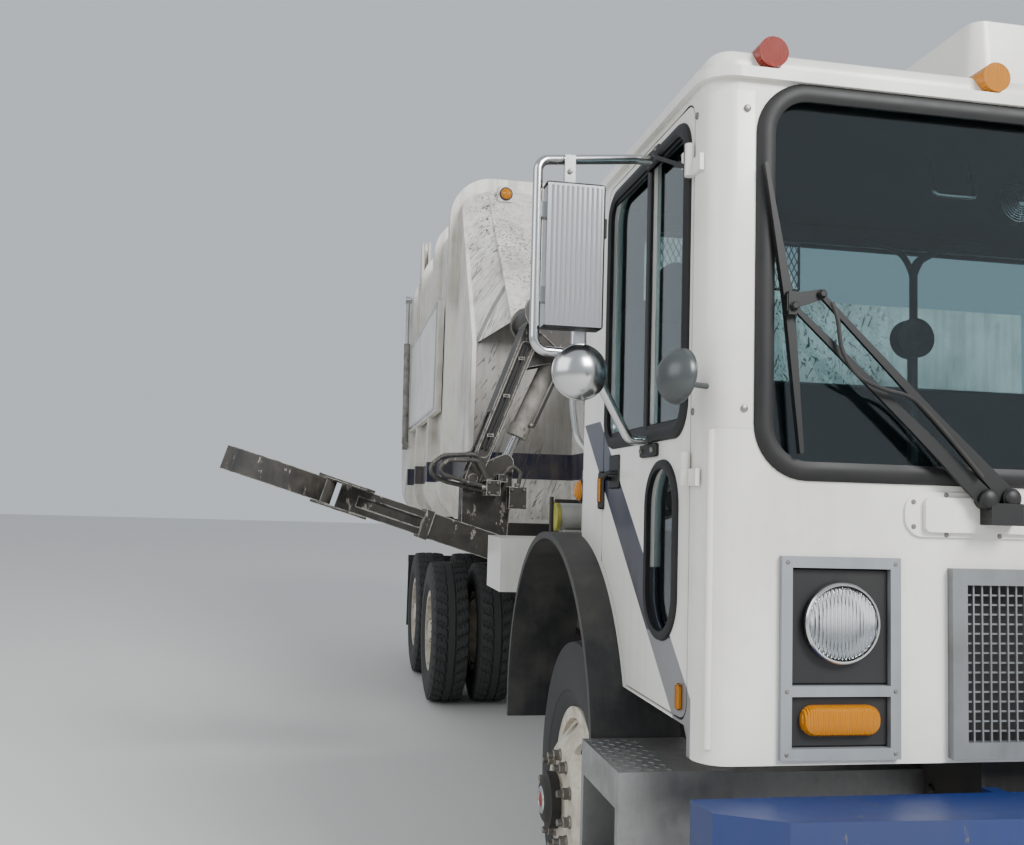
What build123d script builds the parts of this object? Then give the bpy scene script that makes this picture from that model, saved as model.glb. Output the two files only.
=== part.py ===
"""Side-loading refuse truck with a cab over its engine, a hopper behind the cab, a curb-side arm and a tailgate.

Millimetres. X runs across the truck, with the curb side at -X. Y runs from the nose, at 0, to the tailgate.
Z is up from the ground. Every solid is moved at the end, so that the origin is the middle of the whole
footprint, on the ground.
"""

from build123d import *
import os
from math import atan2, cos, degrees, hypot, radians, sin, tan

# Frame rails
rail_outer_x = 430
rail_top_z = 1010
rail_height = 266
rail_flange = 85
rail_wall = 10
rail_front_y = 55
rail_rear_y = 8150
cross_member_ys = (110, 1800, 2900, 4300, 5200, 7400, 8090)
cross_member_size = (90, 170)
hitch_spacing = (85.7, 44.5)
hitch_hole_r = 7

# Bumper
bumper_half_w = 1200
bumper_front_y = -250
bumper_end_y = -40
bumper_z = (545, 875)
bumper_wall = 12

# Engine and radiator
engine_x = 330
engine_y = (330, 1560)
engine_z = (640, 1430)
radiator_x = 500
radiator_y = (75, 135)
radiator_z = (1010, 1375)
fan_r = 190

# Wheels
tyre_r = 525
tyre_w = 276
rim_seat_r = 286
rim_half_w = 106
front_axle_y = 1204
rear_axle_ys = (5650, 6970)
front_tyre_x = 1025
rear_tyre_xs = (745, 1080)
kingpin_x = 860
kingpin_r = 18
spindle_r = 40
camber = 0.5
stud_circle_r = 142.9
stud_count = 10
stud_r = 11
stud_turn = (18, 4.5)
running_gap = 0.3
axle_tube_r = 60

# Cab
cab_half_w = 1160
cab_depth = 1190
cab_corner_r = 70
cab_wall = 40
cab_floor_z = 1000
cab_floor_t = 40
gutter_z = 2539
nose_bottom_z = 933
nose_top_z = 1520
nose_seam_y = 98
seam = 6
tunnel_x = 560
tunnel_top_z = 1532
tunnel_t = 20
glass_t = 6
glass_gap = 0.3
windshield_half_w = 1015
windshield_z = (1608, 2496)
windshield_r = 100
post_w = 30
rear_window_half_w = 950
rear_window_z = (1960, 2480)

# Wheel arch and fender
arch_y = 1232
arch_z = 750
arch_r = 664
liner_t = 20
well_inner_x = 700
fender_t = 23
step_x = (cab_half_w - 160, cab_half_w + 130)
fender_x = (cab_half_w - 160, cab_half_w + 100)
fender_bottom_z = 662

# Doors
door_y = (104, 871)
door_z = (1012, 2501)
door_r = 45
door_window_y = (140, 830)
door_window_z = (1700, 2460)
door_window_r = 70
slider_y = 448
slider_w = 26
peep_y = (190, 413)
peep_z = (1185, 1617)
peep_r = 108
hinge_r = 12
hinge_off = 14
hinge_leaf = 10
hinge_zs = (1600, 2350)
hinge_len = 80

# Mirrors
mirror_tube_x = cab_half_w + 347
mirror_x = (cab_half_w + 180, cab_half_w + 327)
mirror_y = (270, 330)
mirror_z = (1957, 2324)
round_mirror = (cab_half_w + 224, 300, 1847)
round_mirror_r = 71
corner_mirror = (cab_half_w + 82, -22, 1805)
corner_mirror_r = 62
round_mirror_depth = 40

# Lamps and grille on the nose
marker_xs = (149 - cab_half_w, -425, 0, 425, cab_half_w - 149)
marker_z = 2590
marker_r = 37
bezel_x = (682, 978)
bezel_z = (946, 1405)
bezel_t = 14
bezel_edge = 26
cell_split_z = (1088, 1112)
cell_depth = 30
headlamp_z = 1254
headlamp_r = 93
signal_z = 1034
signal_size = (190, 62)
grille_half_w = 554
grille_z = (945, 1384)
grille_frame_w = 38
grille_t = 22
grille_pitch = 22.5
grille_wire = 4

# Wiper cover
wiper_cover_half_w = 666
wiper_cover_z = (1456, 1562)

# Refuse body
body_half_w = 1165
body_wall = 25
body_floor_z = 1390
body_roof_z = 3745
body_corner_r = 230
body_low_r = 240
body_front_y = 3950
body_rear_y = 7960
hoop_h = 68
hoop_w = 120
hoop_ys = (4865, 5945, 7025, 7900)
slope_low = (3950, 2490)
slope_high = (4800, 3690)
ridge_low = (3660, 2600)
ridge_high = (4800, 3719)
ridge_x = 950
sign_y = (5350, 7780)
sign_z = (2180, 3025)
sill_w = 100
hopper_front_y = 1990
hopper_x = (-520, body_half_w - 25)
hopper_top_z = 2450
hopper_wall = 25

# Packer panel
packer_y = (2060, 2350)
packer_top_z = 1950
packer_gap = 8
shoe_gap = 0.5

# Tailgate
tail_seam = 8
tail_hinge_y = 7900
tail_hinge_z = 4050
tail_top_z = body_roof_z + hoop_h
tail_outline = ((0, 1345), (420, 1345), (790, 1900), (790, 2900), (330, tail_top_z), (0, tail_top_z))
tail_rib_xs = (-700, 0, 700)
lug_xs = ((body_half_w - 80, body_half_w - 55), (body_half_w - 15, body_half_w + 10))
arm_plate_x = (body_half_w - 50, body_half_w - 20)
ram_x = body_half_w + hoop_h + 39
ram_foot = (7850, 2050)
ram_eye = (8150, 3560)
ram_r = 32
ram_barrel_len = 1060
ram_rod_r = 20

# Lifting arm, in the plane across the truck at arm_y
arm_y = 2900
shoulder = (-985, 2465)
wrist = (-1300, 1625)
tilt_foot = (-883, 2276)
tilt_eye = (-1130, 1712)
finger_pin = (-2019, 1545)
beam_slope = 17
boom_w = 220
boom_hub_r = 74
boom_ends = (46, 38)
wrist_pin_r = 24
tilt_barrel_r = 47
hose_r = 11
finger_half_gap = 150
finger_half_h = 58
beam_half_h = 61


def front_view(y):
    """The plane across the truck at y: local x is X, local y is Z."""
    return Plane.XZ.offset(-y)


def side_view(x):
    """The plane along the truck at x: local x is Y, local y is Z."""
    return Plane.YZ.offset(x)


def plan_view(z):
    """The level plane at z."""
    return Plane.XY.offset(z)


def slab(x, y, z, mode=Mode.ADD):
    """A block between the (low, high) pairs x, y and z."""
    with Locations(((x[0] + x[1]) / 2, (y[0] + y[1]) / 2, (z[0] + z[1]) / 2)):
        Box(abs(x[1] - x[0]), abs(y[1] - y[0]), abs(z[1] - z[0]), mode=mode)


def panel(y, z, corner_r, grow=0, mode=Mode.ADD):
    """A rounded rectangle in a side or front view between the pairs y and z."""
    with Locations(((y[0] + y[1]) / 2, (z[0] + z[1]) / 2)):
        RectangleRounded(y[1] - y[0] + 2 * grow, z[1] - z[0] + 2 * grow, corner_r + grow, mode=mode)


def rod_x(x, y, z, radius, mode=Mode.ADD):
    """A round bar along X between the pair x."""
    with BuildSketch(side_view(min(x))) as end:
        with Locations((y, z)):
            Circle(radius)
    extrude(end.sketch, amount=abs(x[1] - x[0]), mode=mode)


def rod_y(x, y, z, radius, mode=Mode.ADD):
    """A round bar along Y between the pair y."""
    with BuildSketch(front_view(min(y))) as end:
        with Locations((x, z)):
            Circle(radius)
    extrude(end.sketch, amount=-abs(y[1] - y[0]), mode=mode)


def rod_z(x, y, z, radius, mode=Mode.ADD):
    """A round bar along Z between the pair z."""
    with BuildSketch(plan_view(min(z))) as end:
        with Locations((x, y)):
            Circle(radius)
    extrude(end.sketch, amount=abs(z[1] - z[0]), mode=mode)


def cab_plan(inset, mode=Mode.ADD):
    """The cab's outline from above, drawn inset from its skin."""
    with Locations((0, cab_depth / 2)):
        RectangleRounded(2 * (cab_half_w - inset), cab_depth - 2 * inset, cab_corner_r - inset, mode=mode)


def door_face(grow):
    """The door's outline in a side view, with its rear corner cut round the wheel arch."""
    panel(door_y, door_z, door_r, grow)
    with Locations((arch_y, arch_z)):
        Circle(arch_r + liner_t + 2 + seam - grow, mode=Mode.SUBTRACT)


def body_profile(inset, mode=Mode.ADD):
    """The barrel section of the refuse body in a front view."""
    width = 2 * (body_half_w - inset)
    height = body_roof_z - body_floor_z - 2 * inset
    with BuildSketch(mode=Mode.PRIVATE) as section:
        with Locations((0, (body_roof_z + body_floor_z) / 2)):
            Rectangle(width, height)
        corners = section.vertices().group_by(Axis.Y)
        fillet(corners[-1], radius=body_corner_r - inset)
        low = section.vertices().group_by(Axis.Y)[0]
        fillet(low, radius=body_low_r - inset)
    add(section.sketch, mode=mode)


def mirror_bowl(tip, radius, depth):
    """A round mirror: a spun bowl on a short rim, with its glass side flat, on the plane of its face."""
    swell = (radius**2 + depth**2) / (2 * depth)
    with BuildSketch(Plane(origin=tip.origin, x_dir=tip.x_dir, z_dir=-tip.y_dir)) as half:
        with BuildLine():
            Line((0, -12), (radius, -12))
            Line((radius, -12), (radius, 0))
            RadiusArc((radius, 0), (0, depth), -swell)
            Line((0, depth), (0, -12))
        make_face()
    revolve(half.sketch, axis=Axis(tip.origin, tip.z_dir))


pieces = {}


def keep(name, builder, wheel_side=0):
    """Labels a finished piece and holds it for the move to the footprint's middle. A front wheel leans out at its top."""
    piece = builder.part
    if wheel_side:
        middle_line = Axis((wheel_side * front_tyre_x, front_axle_y, tyre_r), (0, 1, 0))
        piece = piece.rotate(middle_line, wheel_side * camber)
    piece.label = name
    pieces[name] = piece


# Chassis
with BuildPart() as frame_rails:
    for side in (-1, 1):
        with BuildSketch(front_view(rail_front_y)):
            with Locations((side * (rail_outer_x - rail_flange / 2), rail_top_z - rail_height / 2)):
                Rectangle(rail_flange, rail_height)
            with Locations((side * (rail_outer_x - rail_flange / 2 - rail_wall), rail_top_z - rail_height / 2)):
                Rectangle(rail_flange, rail_height - 2 * rail_wall, mode=Mode.SUBTRACT)
        extrude(amount=rail_front_y - rail_rear_y)
    web_x = rail_outer_x - rail_wall / 2
    mid_z = rail_top_z - rail_height / 2
    for y in cross_member_ys:
        slab(
            (-web_x, web_x),
            (y - cross_member_size[0] / 2, y + cross_member_size[0] / 2),
            (mid_z - cross_member_size[1] / 2, mid_z + cross_member_size[1] / 2),
        )
    # Underride bar on two hangers behind the rear axle
    for side in (-1, 1):
        slab((side * 330, side * 400), (8080, 8150), (480, rail_top_z - rail_height + 1))
    slab((-1100, 1100), (8080, 8150), (450, 560))
    # Outriggers that carry the cab
    for side in (-1, 1):
        for y in (340, 1140):
            slab((side * (rail_outer_x - 5), side * 660), (y - 40, y + 40), (cab_floor_z - 90, cab_floor_z))
    # Bolt holes for a tow hitch in the last cross member
    for x in (-hitch_spacing[0] / 2, hitch_spacing[0] / 2):
        for z in (mid_z - hitch_spacing[1] / 2, mid_z + hitch_spacing[1] / 2):
            rod_y(x, (cross_member_ys[-1] - 60, cross_member_ys[-1] + 60), z, hitch_hole_r, mode=Mode.SUBTRACT)
keep("frame_rails", frame_rails)

with BuildPart() as front_bumper:
    half = bumper_half_w
    outline = (
        (-half, bumper_end_y),
        (-half + 12, -140),
        (-half + 150, -215),
        (0, bumper_front_y),
        (half - 150, -215),
        (half - 12, -140),
        (half, bumper_end_y),
    )
    with BuildSketch(plan_view(bumper_z[0])):
        Polygon(*outline)
    extrude(amount=bumper_z[1] - bumper_z[0])
    with BuildSketch(plan_view(bumper_z[0] + bumper_wall)):
        Polygon(*[(x * (1 - bumper_wall / half), y + bumper_wall) for x, y in outline])
    extrude(amount=bumper_z[1] - bumper_z[0] - 2 * bumper_wall, mode=Mode.SUBTRACT)
    for side in (-1, 1):
        slab(
            (side * (rail_outer_x - 40), side * rail_outer_x),
            (bumper_front_y + 22, rail_front_y),
            (770, 860),
        )
keep("front_bumper", front_bumper)

with BuildPart() as engine:
    slab((-engine_x, engine_x), engine_y, engine_z)
    chamfer(engine.edges().filter_by(Axis.Y).group_by(Axis.Z)[-1], length=110)
    slab((-radiator_x, radiator_x), radiator_y, radiator_z)
    rod_y(0, (radiator_y[1], engine_y[0]), (radiator_z[0] + radiator_z[1]) / 2, fan_r)
    for side in (-1, 1):
        for y in (620, 1380):
            slab((side * (engine_x - 10), side * (rail_outer_x - rail_wall)), (y - 50, y + 50), (880, 970))
keep("engine", engine)

spring_x = 380
with BuildPart() as front_axle:
    slab((-kingpin_x, kingpin_x), (front_axle_y - 45, front_axle_y + 45), (470, 500))
    slab((-kingpin_x, kingpin_x), (front_axle_y - 12, front_axle_y + 12), (499, 551))
    slab((-kingpin_x, kingpin_x), (front_axle_y - 45, front_axle_y + 45), (550, 580))
    for side in (-1, 1):
        rod_z(side * kingpin_x, front_axle_y, (455, 595), 50)
        rod_z(side * kingpin_x, front_axle_y, (454, 596), kingpin_r + running_gap, mode=Mode.SUBTRACT)
        # Leaf pack: a shallow arc under each rail, with a hanger at each end
        with BuildSketch(side_view(side * spring_x - 40)):
            with BuildLine():
                top = ThreePointArc((560, 715), (front_axle_y, 640), (1850, 715))
                bottom = ThreePointArc((560, 690), (front_axle_y, 579), (1850, 690))
                Line(top @ 0, bottom @ 0)
                Line(top @ 1, bottom @ 1)
            make_face()
        extrude(amount=80)
        for y in (575, 1835):
            slab((side * spring_x - 40, side * spring_x + 40), (y - 18, y + 18), (700, rail_top_z - rail_height))
keep("front_axle", front_axle)

for side, name in ((-1, "right"), (1, "left")):
    with BuildPart() as knuckle:
        for low, high in ((405, 452), (598, 645)):
            rod_z(side * kingpin_x, front_axle_y, (low, high), 48)
            slab(
                (side * kingpin_x, side * (kingpin_x + 90)),
                (front_axle_y - 48, front_axle_y + 48),
                (low, high),
            )
        yoke_y = (front_axle_y - 48, front_axle_y + 48)
        slab((side * (kingpin_x + 58), side * (kingpin_x + 90)), yoke_y, (405, 645))
        rod_z(side * kingpin_x, front_axle_y, (405, 645), kingpin_r)
        # Spindle and backing plate on the leaned line of the wheel
        hub = Plane(
            origin=(side * front_tyre_x, front_axle_y, tyre_r),
            x_dir=(0, 1, 0),
            z_dir=(side * cos(radians(camber)), 0, -sin(radians(camber))),
        )
        inboard = kingpin_x - front_tyre_x
        for near, far, radius in ((inboard + 80, 100, spindle_r), (inboard + 70, inboard + 100, 200)):
            with BuildSketch(hub.offset(near)):
                Circle(radius)
            extrude(amount=far - near)
    keep(f"knuckle_{name}", knuckle)


def tyre_ring(x_mid, y_mid):
    """A tyre turned about the axle line, wide at the sidewalls and flat across the tread."""
    half = tyre_w / 2
    with BuildSketch(Plane(origin=(x_mid, y_mid, tyre_r), x_dir=(1, 0, 0), z_dir=(0, -1, 0))) as section:
        with BuildLine():
            Polyline(
                (-rim_half_w, rim_seat_r + running_gap),
                (-rim_half_w, rim_seat_r + 15),
                (-half * 0.85, rim_seat_r + 32),
                (-half, (rim_seat_r + tyre_r) / 2),
                (-half * 0.9, tyre_r - 40),
                (-half * 0.78, tyre_r - 8),
                (0, tyre_r),
                (half * 0.78, tyre_r - 8),
                (half * 0.9, tyre_r - 40),
                (half, (rim_seat_r + tyre_r) / 2),
                (half * 0.85, rim_seat_r + 32),
                (rim_half_w, rim_seat_r + 15),
                (rim_half_w, rim_seat_r + running_gap),
                close=True,
            )
        make_face()
    revolve(section.sketch, axis=Axis((x_mid, y_mid, tyre_r), (1, 0, 0)))


def wheel_profile(points, x_mid, y_mid, side):
    """A wheel section turned about the axle line. Points are (distance outboard of x_mid, radius)."""
    with BuildSketch(Plane(origin=(0, y_mid, tyre_r), x_dir=(1, 0, 0), z_dir=(0, -1, 0))) as section:
        with BuildLine():
            Polyline(*[(side * (x_mid + d), r) for d, r in points], close=True)
        make_face()
    revolve(section.sketch, axis=Axis((0, y_mid, tyre_r), (1, 0, 0)))


for side, name in ((-1, "right"), (1, "left")):
    with BuildPart() as front_tyre:
        tyre_ring(side * front_tyre_x, front_axle_y)
    keep(f"tyre_front_{name}", front_tyre, side)

    with BuildPart() as front_rim:
        wheel_profile(
            (
                (225, 0), (225, 68), (214, 82), (176, 86), (168, 110), (168, 178), (152, 200), (92, 262),
                (116, 262), (116, 300), (106, 300), (106, rim_seat_r), (-106, rim_seat_r), (-106, 300),
                (-116, 300), (-116, 262), (70, 262), (136, 196), (152, 172), (112, 172), (112, 105),
                (-40, 105), (-40, 0),
            ),
            front_tyre_x,
            front_axle_y,
            side,
        )
        rod_x((side * 900, side * 1130), front_axle_y, tyre_r, spindle_r + running_gap, mode=Mode.SUBTRACT)
        with BuildSketch(side_view(side * (front_tyre_x + 60))):
            with Locations((front_axle_y, tyre_r)):
                with PolarLocations(226, 10, start_angle=stud_turn[0] + side * stud_turn[1]):
                    Circle(21)
        extrude(amount=side * 150, mode=Mode.SUBTRACT)
        with BuildSketch(side_view(side * (front_tyre_x + 160))):
            with Locations((front_axle_y, tyre_r)):
                # The two wheels stand a quarter of a stud step apart
                with PolarLocations(stud_circle_r, stud_count, start_angle=stud_turn[0] + side * stud_turn[1]):
                    Circle(stud_r)
        extrude(amount=side * 50)
    keep(f"rim_front_{name}", front_rim, side)

near = (rear_tyre_xs[1] - rear_tyre_xs[0]) / 2 - rim_half_w
far = near + 2 * rim_half_w
for axle, y in zip(("forward", "rear"), rear_axle_ys):
    for side, name in ((-1, "right"), (1, "left")):
        with BuildPart() as twin_tyres:
            for x in rear_tyre_xs:
                tyre_ring(side * x, y)
        keep(f"tyres_{axle}_{name}", twin_tyres)

        with BuildPart() as twin_rims:
            wheel_profile(
                (
                    (277, 0), (277, 75), (262, 92), (88, 100), (23, 112), (23, 178), (38, 200), (100, 262),
                    (far + 10, 262), (far + 10, 300), (far, 300), (far, rim_seat_r), (near, rim_seat_r), (near, 300),
                    (near - 10, 300), (near - 10, 262), (82, 262), (16, 196), (-16, 196), (-82, 262),
                    (10 - near, 262), (10 - near, 300), (-near, 300), (-near, rim_seat_r), (-far, rim_seat_r),
                    (-far, 300), (-far - 10, 300), (-far - 10, 262),
                    (-100, 262), (-38, 200), (-23, 178), (-23, 130), (-73, 120), (-73, 0),
                ),
                sum(rear_tyre_xs) / 2,
                y,
                side,
            )
            rod_x((side * 820, side * 1150), y, tyre_r, axle_tube_r + running_gap, mode=Mode.SUBTRACT)
        keep(f"rims_{axle}_{name}", twin_rims)

with BuildPart() as rear_axles:
    for y in rear_axle_ys:
        rod_x((-1140, 1140), y, tyre_r, axle_tube_r)
        rod_x((-95, 95), y, tyre_r, 195)
        rod_y(0, (y - 300, y), tyre_r + 60, 80)
        for side in (-1, 1):
            slab((side * 470, side * 530), (y - 75, y + 75), (tyre_r - 120, tyre_r + 40))
    # Walking beams joined by the saddle tube
    middle = sum(rear_axle_ys) / 2
    for side in (-1, 1):
        with BuildSketch(side_view(side * 500 - 30)):
            Polygon(
                (rear_axle_ys[0] - 75, 405), (rear_axle_ys[0] + 80, 345), (rear_axle_ys[1] - 80, 345),
                (rear_axle_ys[1] + 75, 405), (rear_axle_ys[1] - 80, 470), (middle, 500), (rear_axle_ys[0] + 80, 470),
            )
        extrude(amount=60)
        slab((side * 420, side * 470), (middle - 130, middle + 130), (400, 700))
        slab((side * 330, side * 425), (middle - 200, middle + 200), (660, rail_top_z - rail_height))
    rod_x((-500, 500), middle, 430, 45)
    # Drive shaft and the shaft between the axles
    rod_y(0, (rear_axle_ys[0] + 150, rear_axle_ys[1] - 290), tyre_r + 60, 45)
    shaft_rise = 130
    with BuildSketch(Plane(origin=(0, rear_axle_ys[0] - 290, tyre_r + 60), x_dir=(1, 0, 0),
                           z_dir=(0, -(rear_axle_ys[0] - 290 - engine_y[1]), shaft_rise))):
        Circle(50)
    extrude(amount=hypot(rear_axle_ys[0] - 290 - engine_y[1], shaft_rise) - 8)
keep("rear_axles", rear_axles)

with BuildPart() as tanks:
    rod_y(760, (2150, 3350), 760, 290)
    for y in (2400, 3100):
        slab((rail_outer_x, 560), (y - 40, y + 40), (700, 860))
    # Small reservoir behind the cab on a shelf over the side box
    rod_x((-1092, -560), 1850, 1462, 58)
    slab((-1060, rail_outer_x - 840), (1800, 1900), (1380, 1408))
    slab((-460, -rail_outer_x), (1800, 1900), (860, 1408))
keep("tanks", tanks)

with BuildPart() as side_box:
    slab((-1250, -600), (2200, 2560), (1122, 1356))
    slab((-600, -rail_outer_x), (2300, 2460), (rail_top_z - 150, 1300))
keep("side_box", side_box)

with BuildPart() as steps:
    for side in (-1, 1):
        slab((side * step_x[0], side * step_x[1]), (205, 560), (440, 870))
        slab((side * (step_x[0] + 120), side * (step_x[1] + 10)), (230, 535), (560, 780), mode=Mode.SUBTRACT)
        slab((side * rail_outer_x, side * step_x[0]), (300, 360), (760, 840))
keep("steps", steps)

fender_outer_r = arch_r - running_gap
with BuildPart() as fenders:
    for side in (-1, 1):
        with BuildSketch(side_view(side * fender_x[0])):
            with Locations((arch_y, arch_z)):
                Circle(fender_outer_r)
                Circle(fender_outer_r - fender_t, mode=Mode.SUBTRACT)
            with Locations((arch_y, fender_bottom_z + 500)):
                Rectangle(2000, 1000, mode=Mode.INTERSECT)
        extrude(amount=side * (fender_x[1] - fender_x[0]))
        # Flap behind the rear wheels on its hanger
        slab((side * 620, side * 1215), (7600, 7612), (330, 990))
        slab((side * rail_outer_x, side * 1215), (7612, 7650), (930, 990))
keep("fenders", fenders)

# Cab
with BuildPart() as wheel_wells:
    for side in (-1, 1):
        with BuildSketch(side_view(side * well_inner_x)):
            with Locations((arch_y, arch_z)):
                Circle(arch_r + liner_t)
            with Locations((cab_depth / 2, cab_floor_z + 500)):
                Rectangle(cab_depth, 1000, mode=Mode.INTERSECT)
        extrude(amount=side * (cab_half_w - well_inner_x))
    with BuildSketch(plan_view(cab_floor_z)):
        cab_plan(0)
    extrude(amount=1000, mode=Mode.INTERSECT)

with BuildPart() as cab_shell:
    with BuildSketch(plan_view(cab_floor_z)):
        cab_plan(0)
    extrude(amount=gutter_z - cab_floor_z)
    with BuildSketch(plan_view(cab_floor_z + cab_floor_t)):
        cab_plan(cab_wall)
    extrude(amount=gutter_z, mode=Mode.SUBTRACT)
    with BuildSketch(plan_view(cab_floor_z)):
        cab_plan(0)
        cab_plan(cab_wall, mode=Mode.SUBTRACT)
        with Locations((0, nose_seam_y / 2)):
            Rectangle(2 * cab_half_w, nose_seam_y, mode=Mode.INTERSECT)
    extrude(amount=nose_top_z - cab_floor_z, mode=Mode.SUBTRACT)
    # Engine tunnel
    slab((-tunnel_x, tunnel_x), (cab_wall, cab_depth), (cab_floor_z, tunnel_top_z))
    slab(
        (-tunnel_x + tunnel_t, tunnel_x - tunnel_t),
        (cab_wall - 1, cab_depth + 1),
        (cab_floor_z - 1, tunnel_top_z - tunnel_t),
        mode=Mode.SUBTRACT,
    )
    add(wheel_wells.part)
    for side in (-1, 1):
        with BuildSketch(side_view(side * (well_inner_x + liner_t))):
            with Locations((arch_y, arch_z)):
                Circle(arch_r)
        extrude(amount=side * cab_half_w, mode=Mode.SUBTRACT)
        with BuildSketch(side_view(side * (cab_half_w - cab_wall - 1))):
            door_face(seam)
        extrude(amount=side * (cab_wall + 2), mode=Mode.SUBTRACT)
        for z in hinge_zs:
            rod_z(side * (cab_half_w + hinge_off), nose_seam_y, (z - hinge_len / 2, z), hinge_r)
            slab(
                (side * cab_half_w, side * (cab_half_w + hinge_leaf)),
                (nose_seam_y - 60, nose_seam_y),
                (z - hinge_len / 2, z),
            )
    with BuildSketch(front_view(-1)):
        panel((-windshield_half_w, windshield_half_w), windshield_z, windshield_r)
    extrude(amount=-(cab_wall + 2), mode=Mode.SUBTRACT)
    slab((-post_w / 2, post_w / 2), (8, cab_wall - 8), windshield_z)
    with BuildSketch(front_view(cab_depth - cab_wall - 1)):
        panel((-rear_window_half_w, rear_window_half_w), rear_window_z, 60)
    extrude(amount=-(cab_wall + 2), mode=Mode.SUBTRACT)
keep("cab_shell", cab_shell)

with BuildPart() as cab_nose:
    with BuildSketch(plan_view(nose_bottom_z)):
        cab_plan(0)
        cab_plan(cab_wall, mode=Mode.SUBTRACT)
        with Locations((0, nose_seam_y / 2)):
            Rectangle(2 * cab_half_w, nose_seam_y, mode=Mode.INTERSECT)
    extrude(amount=nose_top_z - nose_bottom_z)
    for side in (-1, 1):
        x_mid = side * (bezel_x[0] + bezel_x[1]) / 2
        half = (bezel_x[1] - bezel_x[0]) / 2 - 14
        hole_z = (bezel_z[0] + 14, bezel_z[1] - 14)
        slab((x_mid - half, x_mid + half), (-1, cab_wall + 1), hole_z, mode=Mode.SUBTRACT)
    slab(
        (-grille_half_w + 20, grille_half_w - 20),
        (-1, cab_wall + 1),
        (grille_z[0] + 20, grille_z[1] - 20),
        mode=Mode.SUBTRACT,
    )
keep("cab_nose", cab_nose)

with BuildPart() as cab_roof:
    with BuildSketch(plan_view(gutter_z - 14)):
        cab_plan(-16)
        cab_plan(0, mode=Mode.SUBTRACT)
    extrude(amount=14)
    with BuildSketch(plan_view(gutter_z)):
        cab_plan(-16)
    extrude(amount=12)
    with BuildSketch(plan_view(gutter_z + 12)):
        cab_plan(4)
    extrude(amount=58)
    fillet(cab_roof.faces().sort_by(Axis.Z)[-1].edges(), radius=48)
    with BuildSketch(plan_view(gutter_z + 69)):
        with Locations((0, 500)):
            RectangleRounded(820, 800, 60)
    extrude(amount=200, taper=6)
    for x in marker_xs:
        rod_y(x, (-30, 61), marker_z, marker_r + running_gap, mode=Mode.SUBTRACT)
keep("cab_roof", cab_roof)

with BuildPart() as cab_glass:
    pane_half = (windshield_half_w - post_w / 2) / 2
    for side in (-1, 1):
        with BuildSketch(front_view(17)):
            panel(
                (-windshield_half_w, windshield_half_w),
                windshield_z,
                windshield_r,
                grow=-glass_gap,
            )
            with Locations((side * (windshield_half_w / 2 + post_w / 4 + glass_gap), 2000)):
                Rectangle(windshield_half_w - post_w / 2, 2000, mode=Mode.INTERSECT)
        extrude(amount=-glass_t)
    with BuildSketch(front_view(cab_depth - 23)):
        panel((-rear_window_half_w, rear_window_half_w), rear_window_z, 60, grow=-glass_gap)
    extrude(amount=-glass_t)
keep("cab_glass", cab_glass)

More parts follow.
